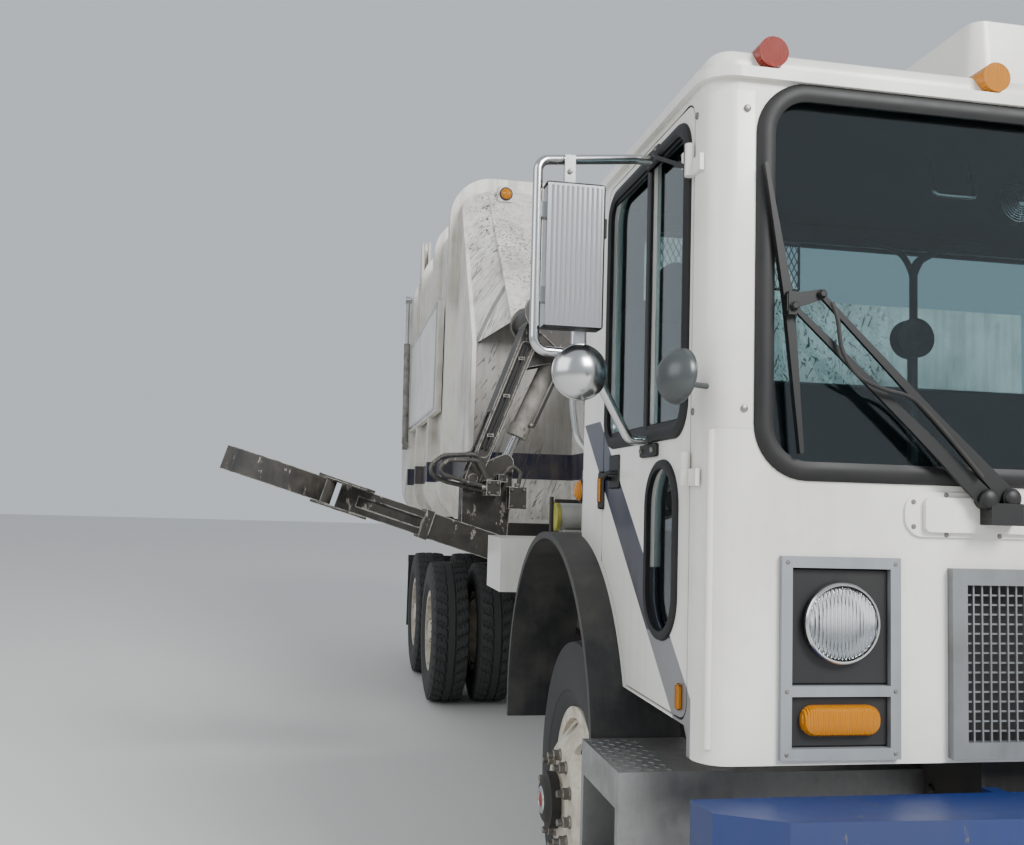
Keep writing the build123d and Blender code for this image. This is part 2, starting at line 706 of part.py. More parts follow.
for side, name in ((-1, "right"), (1, "left")):
    with BuildPart() as door:
        with BuildSketch(side_view(side * (cab_half_w - cab_wall))):
            door_face(0)
            panel(door_window_y, door_window_z, door_window_r, mode=Mode.SUBTRACT)
            panel(peep_y, peep_z, peep_r, mode=Mode.SUBTRACT)
        extrude(amount=side * cab_wall)
        slab(
            (side * (cab_half_w - cab_wall + 8), side * (cab_half_w - 8)),
            (slider_y - slider_w / 2, slider_y + slider_w / 2),
            door_window_z,
        )
        for z in hinge_zs:
            rod_z(side * (cab_half_w + hinge_off), nose_seam_y, (z + running_gap, z + hinge_len / 2), hinge_r)
            slab(
                (side * cab_half_w, side * (cab_half_w + hinge_leaf)),
                (nose_seam_y, nose_seam_y + 70),
                (z + running_gap, z + hinge_len / 2),
            )
    keep(f"door_{name}", door)

    with BuildPart() as door_glass:
        pane_x = side * (cab_half_w - cab_wall / 2 - glass_t / 2)
        halves = ((door_window_y[0], slider_y - slider_w / 2), (slider_y + slider_w / 2, door_window_y[1]))
        for low, high in halves:
            with BuildSketch(side_view(pane_x)):
                panel(door_window_y, door_window_z, door_window_r, grow=-glass_gap)
                with Locations(((low + high) / 2, 2000)):
                    Rectangle(high - low - 2 * glass_gap, 2000, mode=Mode.INTERSECT)
            extrude(amount=side * glass_t)
        with BuildSketch(side_view(pane_x)):
            panel(peep_y, peep_z, peep_r, grow=-glass_gap)
        extrude(amount=side * glass_t)
    keep(f"door_glass_{name}", door_glass)

    with BuildPart() as mirror:
        with BuildLine() as arm_path:
            FilletPolyline(
                (side * cab_half_w, 400, 2450),
                (side * (cab_half_w + 62), 400, 2450),
                (side * mirror_tube_x, 310, 2392),
                (side * mirror_tube_x, 300, 1895),
                (side * (cab_half_w + 205), 330, 1896),
                (side * (cab_half_w + 62), 400, 1683),
                (side * cab_half_w, 400, 1683),
                radius=35,
            )
        with BuildSketch(Plane(arm_path.line @ 0, z_dir=arm_path.line % 0)):
            Circle(13)
        sweep()
        slab((side * mirror_x[0], side * mirror_x[1]), mirror_y, mirror_z)
        for z in (2020, 2240):
            clamp_x = (side * (mirror_x[1] - 7), side * mirror_tube_x)
            slab(clamp_x, (mirror_y[0] + 25, mirror_y[1] - 5), (z, z + 40))
        # Straps from the tube to the head's top and foot
        slab((side * (cab_half_w + 250), side * (cab_half_w + 278)), (300, 318), (mirror_z[1] - 2, 2410))
        slab((side * (cab_half_w + 216), side * (cab_half_w + 240)), (300, 325), (1890, mirror_z[0] + 2))
        # Round wide-angle mirror under the head, its dome towards the nose
        dome_tip = Plane(
            origin=(side * round_mirror[0], round_mirror[1], round_mirror[2]), x_dir=(1, 0, 0), z_dir=(0, -1, 0)
        )
        mirror_bowl(dome_tip, round_mirror_r, round_mirror_depth)
        rod_z(side * round_mirror[0], round_mirror[1] + 22, (round_mirror[2], 1896), 8)
        slab(
            (side * (round_mirror[0] - 12), side * (round_mirror[0] + 12)),
            (round_mirror[1] + 9, round_mirror[1] + 35),
            (round_mirror[2] - 12, round_mirror[2] + 12),
        )
    keep(f"mirror_{name}", mirror)

with BuildPart() as lamp_bezels:
    for side in (-1, 1):
        x_mid = side * (bezel_x[0] + bezel_x[1]) / 2
        half = (bezel_x[1] - bezel_x[0]) / 2
        slab((x_mid - half, x_mid + half), (-bezel_t, 0), bezel_z)
        inner = half - 14 - running_gap
        slab((x_mid - inner, x_mid + inner), (0, cell_depth + 8), (bezel_z[0] + 14.3, bezel_z[1] - 14.3))
        cell = half - bezel_edge
        for cell_z in ((cell_split_z[1], bezel_z[1] - bezel_edge), (bezel_z[0] + bezel_edge, cell_split_z[0])):
            slab((x_mid - cell, x_mid + cell), (-bezel_t - 1, cell_depth), cell_z, mode=Mode.SUBTRACT)
keep("lamp_bezels", lamp_bezels)

with BuildPart() as front_lamps:
    for side in (-1, 1):
        x_mid = side * (bezel_x[0] + bezel_x[1]) / 2
        rod_y(x_mid, (-4, cell_depth), headlamp_z, headlamp_r)
        with BuildSketch(front_view(-6)):
            with Locations((x_mid, signal_z)):
                SlotOverall(signal_size[0], signal_size[1])
        extrude(amount=-(cell_depth + 6))
keep("front_lamps", front_lamps)

with BuildPart() as grille:
    slab((-grille_half_w, grille_half_w), (-grille_t, 0), grille_z)
    slab(
        (-grille_half_w + grille_frame_w, grille_half_w - grille_frame_w),
        (-grille_t - 1, 1),
        (grille_z[0] + grille_frame_w, grille_z[1] - grille_frame_w),
        mode=Mode.SUBTRACT,
    )
    open_w = 2 * (grille_half_w - grille_frame_w)
    open_h = grille_z[1] - grille_z[0] - 2 * grille_frame_w
    columns = round(open_w / grille_pitch) - 1
    rows = round(open_h / grille_pitch) - 1
    for i in range(columns):
        x = (i - (columns - 1) / 2) * grille_pitch
        slab((x - grille_wire / 2, x + grille_wire / 2), (-14, -10), (grille_z[0] + 20, grille_z[1] - 20))
    for j in range(rows):
        z = sum(grille_z) / 2 + (j - (rows - 1) / 2) * grille_pitch
        slab((-grille_half_w + 20, grille_half_w - 20), (-9.7, -5.7), (z - grille_wire / 2, z + grille_wire / 2))
keep("grille", grille)

with BuildPart() as marker_lamps:
    for x in marker_xs:
        rod_y(x, (-20, 60), marker_z, marker_r)
keep("marker_lamps", marker_lamps)

with BuildPart() as corner_mirrors:
    for side in (-1, 1):
        x, y, z = side * corner_mirror[0], corner_mirror[1], corner_mirror[2]
        tip = Plane(origin=(x, y, z), z_dir=(side * 0.95, -0.28, 0.1))
        mirror_bowl(tip, corner_mirror_r, round_mirror_depth)
        # Short stay from the rounded corner of the cab
        turn = radians(35)
        corner = (side * (cab_half_w - cab_corner_r * (1 - cos(turn))), cab_corner_r * (1 - sin(turn)))
        way = (x - corner[0], y - corner[1], 0)
        foot = Plane(origin=(corner[0], corner[1], z - 14), z_dir=way)
        with BuildSketch(foot.offset(1)):
            Circle(7)
        extrude(amount=hypot(way[0], way[1]) - 7)
keep("corner_mirrors", corner_mirrors)

with BuildPart() as wiper_cover:
    with BuildSketch(front_view(0)):
        panel((-wiper_cover_half_w, wiper_cover_half_w), wiper_cover_z, 45)
    extrude(amount=6)
    with BuildSketch(front_view(-6)):
        sunk_z = (wiper_cover_z[0] + 12, wiper_cover_z[1] - 12)
        panel((-wiper_cover_half_w + 46, wiper_cover_half_w - 46), sunk_z, 14)
    extrude(amount=12)
keep("wiper_cover", wiper_cover)

with BuildPart() as wipers:
    for side in (-1, 1):
        slab((side * 395, side * 480), (-62, -18.3), (1488, 1540))
        # Two links with a coupler, so that the blade stays upright
        for foot, top, wide in (((478, 1548), (968, 1978), 13), ((418, 1552), (900, 2010), 11)):
            lean = atan2(top[1] - foot[1], top[0] - foot[0])
            nx, nz = -sin(lean), cos(lean)
            with BuildSketch(front_view(-44)):
                Polygon(
                    (side * (foot[0] + 22 * nx), foot[1] + 22 * nz), (side * (foot[0] - 22 * nx), foot[1] - 22 * nz),
                    (side * (foot[0] + 190 - wide * nx), foot[1] + 190 * tan(lean) - wide * nz),
                    (side * (top[0] - 6 * nx), top[1] - 6 * nz), (side * (top[0] + 6 * nx), top[1] + 6 * nz),
                    (side * (foot[0] + 190 + wide * nx), foot[1] + 190 * tan(lean) + wide * nz),
                )
            extrude(amount=-10)
            rod_y(side * foot[0], (-52, -26), foot[1], 24)
            rod_y(side * top[0], (-50, -28), top[1], 11)
        with BuildSketch(front_view(-44)):
            Polygon((side * 890, 2000), (side * 900, 2022), (side * 985, 2006), (side * 985, 1966))
        extrude(amount=-8)
        # Blade with its bridge
        with BuildSketch(front_view(-30)):
            Polygon(
                (side * 1028, 2318), (side * 1036, 2316), (side * 984, 1990), (side * 944, 1640), (side * 934, 1642),
                (side * 960, 1990),
            )
        extrude(amount=-18)
        slab((side * 962, side * 982), (-46, -16), (1958, 2012))
keep("wipers", wipers)

with BuildPart() as cab_interior:
    # Dashboard
    dash_half_w = cab_half_w - 80
    with BuildSketch(side_view(-dash_half_w)):
        Polygon((cab_wall, tunnel_top_z), (cab_wall, 1600), (300, 1600), (360, tunnel_top_z))
    extrude(amount=2 * dash_half_w)
    seat_x = (tunnel_x + 20, cab_half_w - 100)
    seat_mid = sum(seat_x) / 2
    for side in (-1, 1):
        # Seat pedestal, cushion, back and headrest
        slab((side * (tunnel_x + 5), side * (well_inner_x - 5)), (640, 1100), (cab_floor_z + cab_floor_t, 1450))
        with BuildSketch(plan_view(1441)):
            with Locations((side * seat_mid, 870)):
                RectangleRounded(seat_x[1] - seat_x[0], 460, 60)
        extrude(amount=119)
        with BuildSketch(front_view(990)):
            with Locations((side * seat_mid, 1870)):
                RectangleRounded(seat_x[1] - seat_x[0], 640, 70)
            with Locations((side * seat_mid, 2250)):
                RectangleRounded(240, 150, 50)
            with Locations((side * (seat_mid - 60), 2180), (side * (seat_mid + 60), 2180)):
                Rectangle(14, 60)
        extrude(amount=-110)
    # Steering column and wheel on the driver's side
    with BuildSketch(Plane(origin=(seat_mid, 290, 1560), x_dir=(1, 0, 0), z_dir=(0, 0.75, 0.66))):
        Circle(25)
    extrude(amount=190)
    with BuildSketch(Plane(origin=(seat_mid, 290, 1560), x_dir=(1, 0, 0), z_dir=(0, 0.75, 0.66)).offset(165)):
        Circle(215)
        Circle(190, mode=Mode.SUBTRACT)
        Rectangle(400, 24)
    extrude(amount=24)
    # Two small fans, one on a stand and one under the roof
    rod_y(-338, (478, 522), 2022, 57)
    rod_z(-338, 500, (tunnel_top_z, 1990), 12)
    rod_y(2, (478, 522), 2452, 57)
    rod_z(2, 500, (2490, gutter_z), 12)
    # Bent grab tube behind the seats
    with BuildLine() as grab:
        FilletPolyline((16, 1060, tunnel_top_z), (16, 1060, 2400), (150, 1060, 2480), (300, 1060, 2480), radius=60)
    with BuildSketch(Plane(grab.line @ 0, z_dir=grab.line % 0)):
        Circle(14)
    sweep()
keep("cab_interior", cab_interior)

# Refuse body
with BuildPart() as body_sills:
    for side in (-1, 1):
        slab(
            (side * (rail_outer_x - sill_w), side * rail_outer_x),
            (hopper_front_y + 40, body_rear_y),
            (rail_top_z, body_floor_z),
        )
    for y in (2100, 3000, 3800, 4800, 5800, 6800, 7800):
        # The one under the arm stops short of it on the curb side
        curb = hopper_x[0] - 20 if y == 3000 else -960
        slab((curb, 960), (y - 40, y + 40), (body_floor_z - 110, body_floor_z))
keep("body_sills", body_sills)

with BuildPart() as hopper:
    slab(hopper_x, (hopper_front_y, body_front_y), (body_floor_z, hopper_top_z))
    slab(
        (hopper_x[0] + hopper_wall, hopper_x[1] - hopper_wall),
        (hopper_front_y + hopper_wall, body_front_y + 1),
        (body_floor_z + body_wall, hopper_top_z + 1),
        mode=Mode.SUBTRACT,
    )
keep("hopper", hopper)

slope_cut = (
    (slope_low[0] - 500, slope_low[1]),
    slope_low,
    slope_high,
    (slope_high[0], body_roof_z + 200),
    (slope_low[0] - 500, body_roof_z + 200),
)
with BuildPart() as body_shell:
    with BuildSketch(front_view(body_front_y)):
        body_profile(0)
    extrude(amount=body_front_y - body_rear_y)
    for y in hoop_ys:
        with BuildSketch(front_view(y - hoop_w / 2)):
            body_profile(-hoop_h)
        extrude(amount=-hoop_w)
    slab((-1400, 1400), (body_front_y, body_rear_y), (1000, body_floor_z), mode=Mode.SUBTRACT)
    with BuildSketch(front_view(body_front_y - 1)):
        body_profile(body_wall)
    extrude(amount=body_front_y - body_rear_y - 2, mode=Mode.SUBTRACT)
    with BuildSketch(side_view(-1300)):
        Polygon(*slope_cut)
    extrude(amount=2600, mode=Mode.SUBTRACT)
    for side in (-1, 1):
        slab((side * (body_half_w + hoop_h - 38), side * (body_half_w + hoop_h + 4)), sign_y, sign_z)
        for low, high in lug_xs:
            with BuildSketch(side_view(side * low)):
                Polygon(
                    (7760, 3300), (7960, 3300), (7960, 3640), (7940, 4080), (7920, 4110), (7870, 4110),
                    (7850, 4080), (7760, 3700),
                )
            extrude(amount=side * (high - low))
        rod_x((side * lug_xs[0][0], side * lug_xs[1][1]), tail_hinge_y, tail_hinge_z, 24)
        rod_x((side * (body_half_w - 10), side * (ram_x + 28)), ram_foot[0], ram_foot[1], 20)
    with BuildSketch(front_view(body_front_y - 1)):
        body_profile(body_wall)
    extrude(amount=body_front_y - body_rear_y - 2, mode=Mode.SUBTRACT)
keep("body_shell", body_shell)

sheet = 34
hood_out = body_half_w - body_wall - running_gap
with BuildPart() as body_hood:
    ridge_inner = ((ridge_high[0], ridge_high[1] - sheet), (ridge_low[0] + sheet, ridge_low[1]))
    ridge = (ridge_low, ridge_high, *ridge_inner)
    slope_inner = ((slope_high[0], slope_high[1] - sheet), (slope_low[0] + body_wall, slope_low[1]))
    outer = (slope_low, slope_high, *slope_inner)
    with BuildSketch(side_view(-ridge_x)):
        Polygon(*ridge)
    extrude(amount=2 * ridge_x)
    for side in (-1, 1):
        # Facet that folds back from the ridge to the body's side
        with BuildSketch(side_view(side * ridge_x)) as inner_end:
            Polygon(*ridge)
        with BuildSketch(side_view(side * hood_out)) as outer_end:
            Polygon(*outer)
        loft([inner_end.sketch, outer_end.sketch])
    # Front wall up to the underside of the folded plates
    rise = (ridge_high[1] - ridge_low[1]) / (ridge_high[0] - ridge_low[0])
    wall_top = ridge_low[1] + rise * (body_front_y - ridge_low[0]) - 18
    with BuildSketch(front_view(body_front_y)):
        Polygon(
            (-hood_out, body_floor_z), (-hood_out, slope_low[1] + 5), (-ridge_x, wall_top), (ridge_x, wall_top),
            (hood_out, slope_low[1] + 5), (hood_out, body_floor_z),
        )
    extrude(amount=-body_wall)
    with BuildSketch(front_view(ridge_low[0] - 10)):
        body_profile(body_wall + running_gap)
    extrude(amount=-1400, mode=Mode.INTERSECT)
    slab(
        (hopper_x[0] + 40, hopper_x[1] - 20),
        (body_front_y - 1, body_front_y + body_wall + 1),
        (body_floor_z, 2300),
        mode=Mode.SUBTRACT,
    )
keep("body_hood", body_hood)

with BuildPart() as packer:
    gap = packer_gap
    left = hopper_x[0] + hopper_wall + gap + 20
    right = hopper_x[1] - hopper_wall - gap - 20
    low = body_floor_z + body_wall + gap
    with BuildSketch(front_view(packer_y[0])):
        Polygon(
            (left, low), (body_half_w - body_low_r - 10, low), (right, body_floor_z + body_low_r + 10),
            (right, packer_top_z), (left, packer_top_z),
        )
    extrude(amount=packer_y[0] - packer_y[1])
    # Shoes that run along the hopper's walls
    slab((hopper_x[0] + hopper_wall + shoe_gap, left + 5), (packer_y[0] + 40, packer_y[1] - 40), (1700, 1760))
    slab((right - 5, hopper_x[1] - hopper_wall - shoe_gap), (packer_y[0] + 40, packer_y[1] - 40), (1700, 1760))
keep("packer", packer)

tail_y = body_rear_y + tail_seam
with BuildPart() as load_space:
    with BuildSketch(front_view(tail_y - 1)):
        body_profile(body_wall)
    extrude(amount=-1000)
    with BuildSketch(side_view(-1300)):
        Polygon(*[(tail_y + y * 0.955 - 1, z - 35 if z > 3000 else max(z, 1420)) for y, z in tail_outline])
    extrude(amount=2600, mode=Mode.INTERSECT)

with BuildPart() as tailgate:
    with BuildSketch(front_view(tail_y)):
        body_profile(-hoop_h)
    extrude(amount=-1000)
    with BuildSketch(side_view(-1300)):
        Polygon(*[(tail_y + y, z) for y, z in tail_outline])
    extrude(amount=2600, mode=Mode.INTERSECT)
    add(load_space.part, mode=Mode.SUBTRACT)
    for side in (-1, 1):
        with BuildSketch(side_view(side * arm_plate_x[0])):
            Polygon(
                (7980, 3420), (8290, 3420), (8290, 3640), (8120, 3820), (7960, 4100), (7900, 4110), (7850, 4080),
                (7840, 4020), (7972, 3800),
            )
        extrude(amount=side * (arm_plate_x[1] - arm_plate_x[0]))
        rod_x(
            (side * (arm_plate_x[0] - 1), side * (arm_plate_x[1] + 1)),
            tail_hinge_y, tail_hinge_z, 24 + running_gap, mode=Mode.SUBTRACT,
        )
        rod_x((side * (body_half_w - 55), side * (ram_x - 31)), ram_eye[0], ram_eye[1], 24)
    back_y = tail_y + tail_outline[2][0]
    for x in tail_rib_xs:
        slab((x - 40, x + 40), (back_y - 20, back_y + 35), (tail_outline[2][1] + 20, tail_outline[3][1] - 20))
    slab((-1000, 1000), (back_y - 20, back_y + 25), (2360, 2440))
    add(load_space.part, mode=Mode.SUBTRACT)
keep("tailgate", tailgate)

ram_dir = (0, ram_eye[0] - ram_foot[0], ram_eye[1] - ram_foot[1])
ram_len = hypot(ram_dir[1], ram_dir[2])
with BuildPart() as tailgate_barrels:
    for side in (-1, 1):
        with BuildSketch(Plane(origin=(side * ram_x, *ram_foot), x_dir=(1, 0, 0), z_dir=ram_dir)):
            Circle(ram_r)
        extrude(amount=ram_barrel_len)
        rod_x((side * (ram_x - 26), side * (ram_x + 26)), ram_foot[0], ram_foot[1], 42)
        rod_x(
            (side * (ram_x - 40), side * (ram_x + 40)), ram_foot[0], ram_foot[1], 20 + running_gap, mode=Mode.SUBTRACT
        )
        with BuildSketch(Plane(origin=(side * ram_x, *ram_foot), x_dir=(1, 0, 0), z_dir=ram_dir).offset(130)):
            Circle(ram_rod_r + running_gap)
        extrude(amount=ram_barrel_len, mode=Mode.SUBTRACT)
keep("tailgate_barrels", tailgate_barrels)

with BuildPart() as tailgate_rods:
    for side in (-1, 1):
        with BuildSketch(Plane(origin=(side * ram_x, *ram_foot), x_dir=(1, 0, 0), z_dir=ram_dir).offset(140)):
            Circle(ram_rod_r)
        extrude(amount=ram_len - 140)
        rod_x((side * (ram_x - 26), side * (ram_x + 26)), ram_eye[0], ram_eye[1], 42)
keep("tailgate_rods", tailgate_rods)

# Lifting arm
with BuildPart() as arm_shoulder:
    for side in (-1, 1):
        y_in = arm_y + side * (boom_w / 2 + 75)
        with BuildSketch(front_view(y_in)):
            with Locations(shoulder):
                Circle(95)
            Polygon(
                (shoulder[0], shoulder[1] + 95), (shoulder[0] - 40, shoulder[1] - 86), (hopper_x[0] - 60, 2000),
                (hopper_x[0], 2000), (hopper_x[0], hopper_top_z), (hopper_x[0] - 100, hopper_top_z + 60),
            )
        extrude(amount=-side * 25)
    rod_y(shoulder[0], (arm_y - boom_w / 2 - 80, arm_y + boom_w / 2 + 80), shoulder[1], 35)
    rod_y(shoulder[0], (arm_y + boom_w / 2 + 100, arm_y + boom_w / 2 + 190), shoulder[1], 60)
keep("arm_shoulder", arm_shoulder)

boom_dir = (wrist[0] - shoulder[0], wrist[1] - shoulder[1])
boom_len = hypot(*boom_dir)
with BuildPart() as arm_boom:
    with BuildSketch(front_view(arm_y - boom_w / 2)):
        with Locations(shoulder):
            Circle(boom_ends[0])
        with Locations(wrist):
            Circle(boom_ends[1])
        make_hull()
    extrude(amount=-boom_w)
    # Sunk panels that leave a flange round each side
    for side in (-1, 1):
        with BuildSketch(front_view(arm_y + side * (boom_w / 2 - 18))):
            for share in (0.2, 0.84):
                with Locations((shoulder[0] + share * boom_dir[0], shoulder[1] + share * boom_dir[1])):
                    Circle(28)
            make_hull()
        extrude(amount=-side * 19, mode=Mode.SUBTRACT)
    rod_y(shoulder[0], (arm_y - boom_w / 2 - 65, arm_y + boom_w / 2 + 65), shoulder[1], boom_hub_r)
    # Ears for the tilt cylinder's foot
    for side in (-1, 1):
        with BuildSketch(front_view(arm_y + side * 50)):
            with Locations(tilt_foot):
                Circle(42)
            with Locations((shoulder[0] + 0.28 * boom_dir[0], shoulder[1] + 0.28 * boom_dir[1])):
                Circle(40)
            make_hull()
        extrude(amount=-side * 22)
    rod_y(tilt_foot[0], (arm_y - 60, arm_y + 60), tilt_foot[1], 18)
    rod_y(shoulder[0], (arm_y - 400, arm_y + 400), shoulder[1], 35 + running_gap, mode=Mode.SUBTRACT)
    # Fork at the wrist
    slot_centre = (wrist[0] - 0.16 * boom_dir[0], wrist[1] - 0.16 * boom_dir[1])
    with BuildSketch(front_view(arm_y - 68)):
        with Locations(Location((slot_centre[0], slot_centre[1]), degrees(atan2(boom_dir[1], boom_dir[0])))):
            Rectangle(2 * 0.16 * boom_len + 140, 400)
    extrude(amount=-136, mode=Mode.SUBTRACT)
    rod_y(wrist[0], (arm_y - boom_w / 2 - 12, arm_y + boom_w / 2 + 12), wrist[1], wrist_pin_r)
keep("arm_boom", arm_boom)

tilt_dir = (tilt_eye[0] - tilt_foot[0], 0, tilt_eye[1] - tilt_foot[1])
tilt_len = hypot(tilt_dir[0], tilt_dir[2])
tilt_plane = Plane(origin=(tilt_foot[0], arm_y, tilt_foot[1]), x_dir=(0, 1, 0), z_dir=tilt_dir)
with BuildPart() as tilt_barrel:
    with BuildSketch(tilt_plane.offset(30)):
        Circle(tilt_barrel_r)
    extrude(amount=430)
    with BuildSketch(tilt_plane.offset(405)):
        Circle(tilt_barrel_r + 8)
    extrude(amount=60)
    slab((tilt_foot[0] - 4, tilt_foot[0] + 52), (arm_y - 22, arm_y + 22), (tilt_foot[1] - 110, tilt_foot[1] - 70))
    rod_y(tilt_foot[0], (arm_y - 46, arm_y + 46), tilt_foot[1], 38)
    rod_y(tilt_foot[0], (arm_y - 47, arm_y + 47), tilt_foot[1], 18 + running_gap, mode=Mode.SUBTRACT)
    with BuildSketch(tilt_plane.offset(58)):
        Circle(25 + running_gap)
    extrude(amount=500, mode=Mode.SUBTRACT)
keep("tilt_barrel", tilt_barrel)

with BuildPart() as tilt_rod:
    with BuildSketch(tilt_plane.offset(100)):
        Circle(25)
    extrude(amount=tilt_len - 100)
    rod_y(tilt_eye[0], (arm_y - 28, arm_y + 28), tilt_eye[1], 36)
keep("tilt_rod", tilt_rod)

along = (-cos(radians(beam_slope)), 0, sin(radians(beam_slope)))
upright = (sin(radians(beam_slope)), 0, cos(radians(beam_slope)))
finger_plane = Plane(origin=(finger_pin[0], arm_y, finger_pin[1]), x_dir=along, z_dir=upright)
with BuildPart() as arm_head:
    # Web between the wrist, the rod's eye and the beam
    with BuildSketch(front_view(arm_y - 64)):
        with Locations(wrist):
            Circle(46)
        with Locations(tilt_eye):
            Circle(42)
        Polygon((-1345, 1340), (-1125, 1275), (-1112, 1330), (-1345, 1400))
        make_hull()
    extrude(amount=-128)
    with BuildSketch(finger_plane.offset(-beam_half_h - 4)):
        with Locations((-725, 0)):
            Rectangle(450, 240)
    extrude(amount=2 * beam_half_h + 8)
    with BuildSketch(finger_plane.offset(-beam_half_h)):
        with Locations((-310, 0)):
            Rectangle(480, 200)
    extrude(amount=2 * beam_half_h)
    # Long recess along each side of the beam, with a collar at its inner end
    for side in (-1, 1):
        with BuildSketch(finger_plane.offset(-26)):
            with Locations((-330, side * 94)):
                Rectangle(330, 14)
        extrude(amount=52, mode=Mode.SUBTRACT)
    with BuildSketch(finger_plane.offset(-beam_half_h - 12)):
        with Locations((-520, 0)):
            Rectangle(44, 258)
    extrude(amount=2 * beam_half_h + 24)
    for level in (-1, 1):
        with BuildSketch(finger_plane.offset(level * (finger_half_h + 3))):
            with Locations((-90, 0)):
                RectangleRounded(280, 2 * finger_half_gap + 110, 45)
        extrude(amount=level * 12)
    with BuildSketch(finger_plane.offset(-finger_half_h - 3)):
        with Locations((0, -finger_half_gap), (0, finger_half_gap)):
            Circle(20)
    extrude(amount=2 * finger_half_h + 6)
    rod_y(wrist[0], (arm_y - 65, arm_y + 65), wrist[1], wrist_pin_r + running_gap, mode=Mode.SUBTRACT)
    with BuildSketch(front_view(arm_y - 32)):
        with Locations(tilt_eye):
            Circle(90)
    extrude(amount=-64, mode=Mode.SUBTRACT)
    # Valve blocks and the hoses that loop between them
    slab((-1240, -1170), (arm_y - 175, arm_y - 60), (1545, 1618))
    slab((-1118, -1030), (arm_y - 130, arm_y - 40), (1480, 1590))
    for depth, bend, points in (
        (132, 45, ((-1205, 1590), (-1285, 1745), (-1450, 1735), (-1560, 1650), (-1430, 1604), (-1215, 1560))),
        (160, 30, ((-1215, 1590), (-1285, 1715), (-1425, 1712), (-1505, 1655), (-1420, 1630), (-1225, 1580))),
        (105, 24, ((-1075, 1570), (-1058, 1662), (-1105, 1700), (-1150, 1640))),
    ):
        with BuildLine() as hose:
            FilletPolyline(*[(x, arm_y - depth, z) for x, z in points], radius=bend)
        with BuildSketch(Plane(hose.line @ 0, z_dir=hose.line % 0)):
            Circle(hose_r)
        sweep()
    slab((-1172, -1128), (arm_y - 120, arm_y - 60), (1612, 1650))
keep("arm_head", arm_head)

for side, name in ((1, "front"), (-1, "rear")):
    with BuildPart() as finger:
        with BuildSketch(finger_plane.offset(-finger_half_h)):
            with BuildLine():
                bow = ThreePointArc((10, side * 180), (240, side * 300), (430, side * 215))
                Line(bow @ 1, (490, side * 110))
            trace(line_width=22)
            with Locations((0, side * finger_half_gap)):
                Circle(44)
        extrude(amount=2 * finger_half_h)
        with BuildSketch(finger_plane.offset(-finger_half_h - 1)):
            with Locations((0, side * finger_half_gap)):
                Circle(20 + running_gap)
        extrude(amount=2 * finger_half_h + 2, mode=Mode.SUBTRACT)
    keep(f"finger_{name}", finger)

# The whole truck is moved so that the origin is the middle of its footprint
whole = Compound(children=[Compound(piece.wrapped) for piece in pieces.values()]).bounding_box()
to_origin = Vector(-(whole.min.X + whole.max.X) / 2, -(whole.min.Y + whole.max.Y) / 2, -whole.min.Z)
os.makedirs("parts", exist_ok=True)
for name, piece in pieces.items():
    placed = piece.moved(Location(to_origin))
    placed.label = name
    export_step(placed, f"parts/{name}.step")
print("moved by", to_origin, "size", whole.size)
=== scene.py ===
"""Looks of a worn side-loading refuse truck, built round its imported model.

Sizes are in millimetres in the truck's own frame, as in the part's source: x = 0 on the centre line with the
curb side at -x, y = 0 at the nose panel and growing rearward, z = 0 on the road.
"""

import logging
import math
from dataclasses import dataclass, field
from enum import Enum
from typing import Any, Callable, Iterable, Sequence

import bmesh
import bpy
import numpy as np
from mathutils import Matrix, Vector
from numpy.typing import NDArray


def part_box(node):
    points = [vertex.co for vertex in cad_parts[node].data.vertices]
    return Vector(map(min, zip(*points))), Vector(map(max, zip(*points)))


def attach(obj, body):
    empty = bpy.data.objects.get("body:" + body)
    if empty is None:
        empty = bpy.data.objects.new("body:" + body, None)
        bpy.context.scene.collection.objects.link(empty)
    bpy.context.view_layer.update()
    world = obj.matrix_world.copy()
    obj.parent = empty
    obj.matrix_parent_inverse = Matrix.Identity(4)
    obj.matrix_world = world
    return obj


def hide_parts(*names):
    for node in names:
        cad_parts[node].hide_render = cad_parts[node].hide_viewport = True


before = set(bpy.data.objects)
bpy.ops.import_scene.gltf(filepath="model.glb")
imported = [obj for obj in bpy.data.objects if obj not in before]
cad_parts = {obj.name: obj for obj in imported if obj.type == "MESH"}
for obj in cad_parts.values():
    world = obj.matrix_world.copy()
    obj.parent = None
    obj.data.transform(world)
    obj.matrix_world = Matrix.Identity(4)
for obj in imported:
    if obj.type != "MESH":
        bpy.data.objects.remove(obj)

Array = NDArray[np.float64]
LOG = logging.getLogger("refuse_truck")


# How far the roof's front edge stands before the nose panel
ROOF_LIP_MM = 16.0


def truck_zero() -> Array:
    """Returns where the truck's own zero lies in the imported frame, in metres.

    It is on the ground, in the middle of the roof's width and a lip's length behind the roof's front edge.
    """
    low, high = (np.array(c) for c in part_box("cab_roof"))
    return np.array([(low[0] + high[0]) / 2, low[1] + ROOF_LIP_MM / 1000, 0.0])


TRUCK_ZERO = truck_zero()


class Side(Enum):
    """The two sides of the truck, with their sign on x."""

    CURB = -1
    ROAD = 1

    @property
    def word(self) -> str:
        """The side's word in the names of nodes and bodies."""
        return "right" if self is Side.CURB else "left"


# Surfaces worked out with numpy


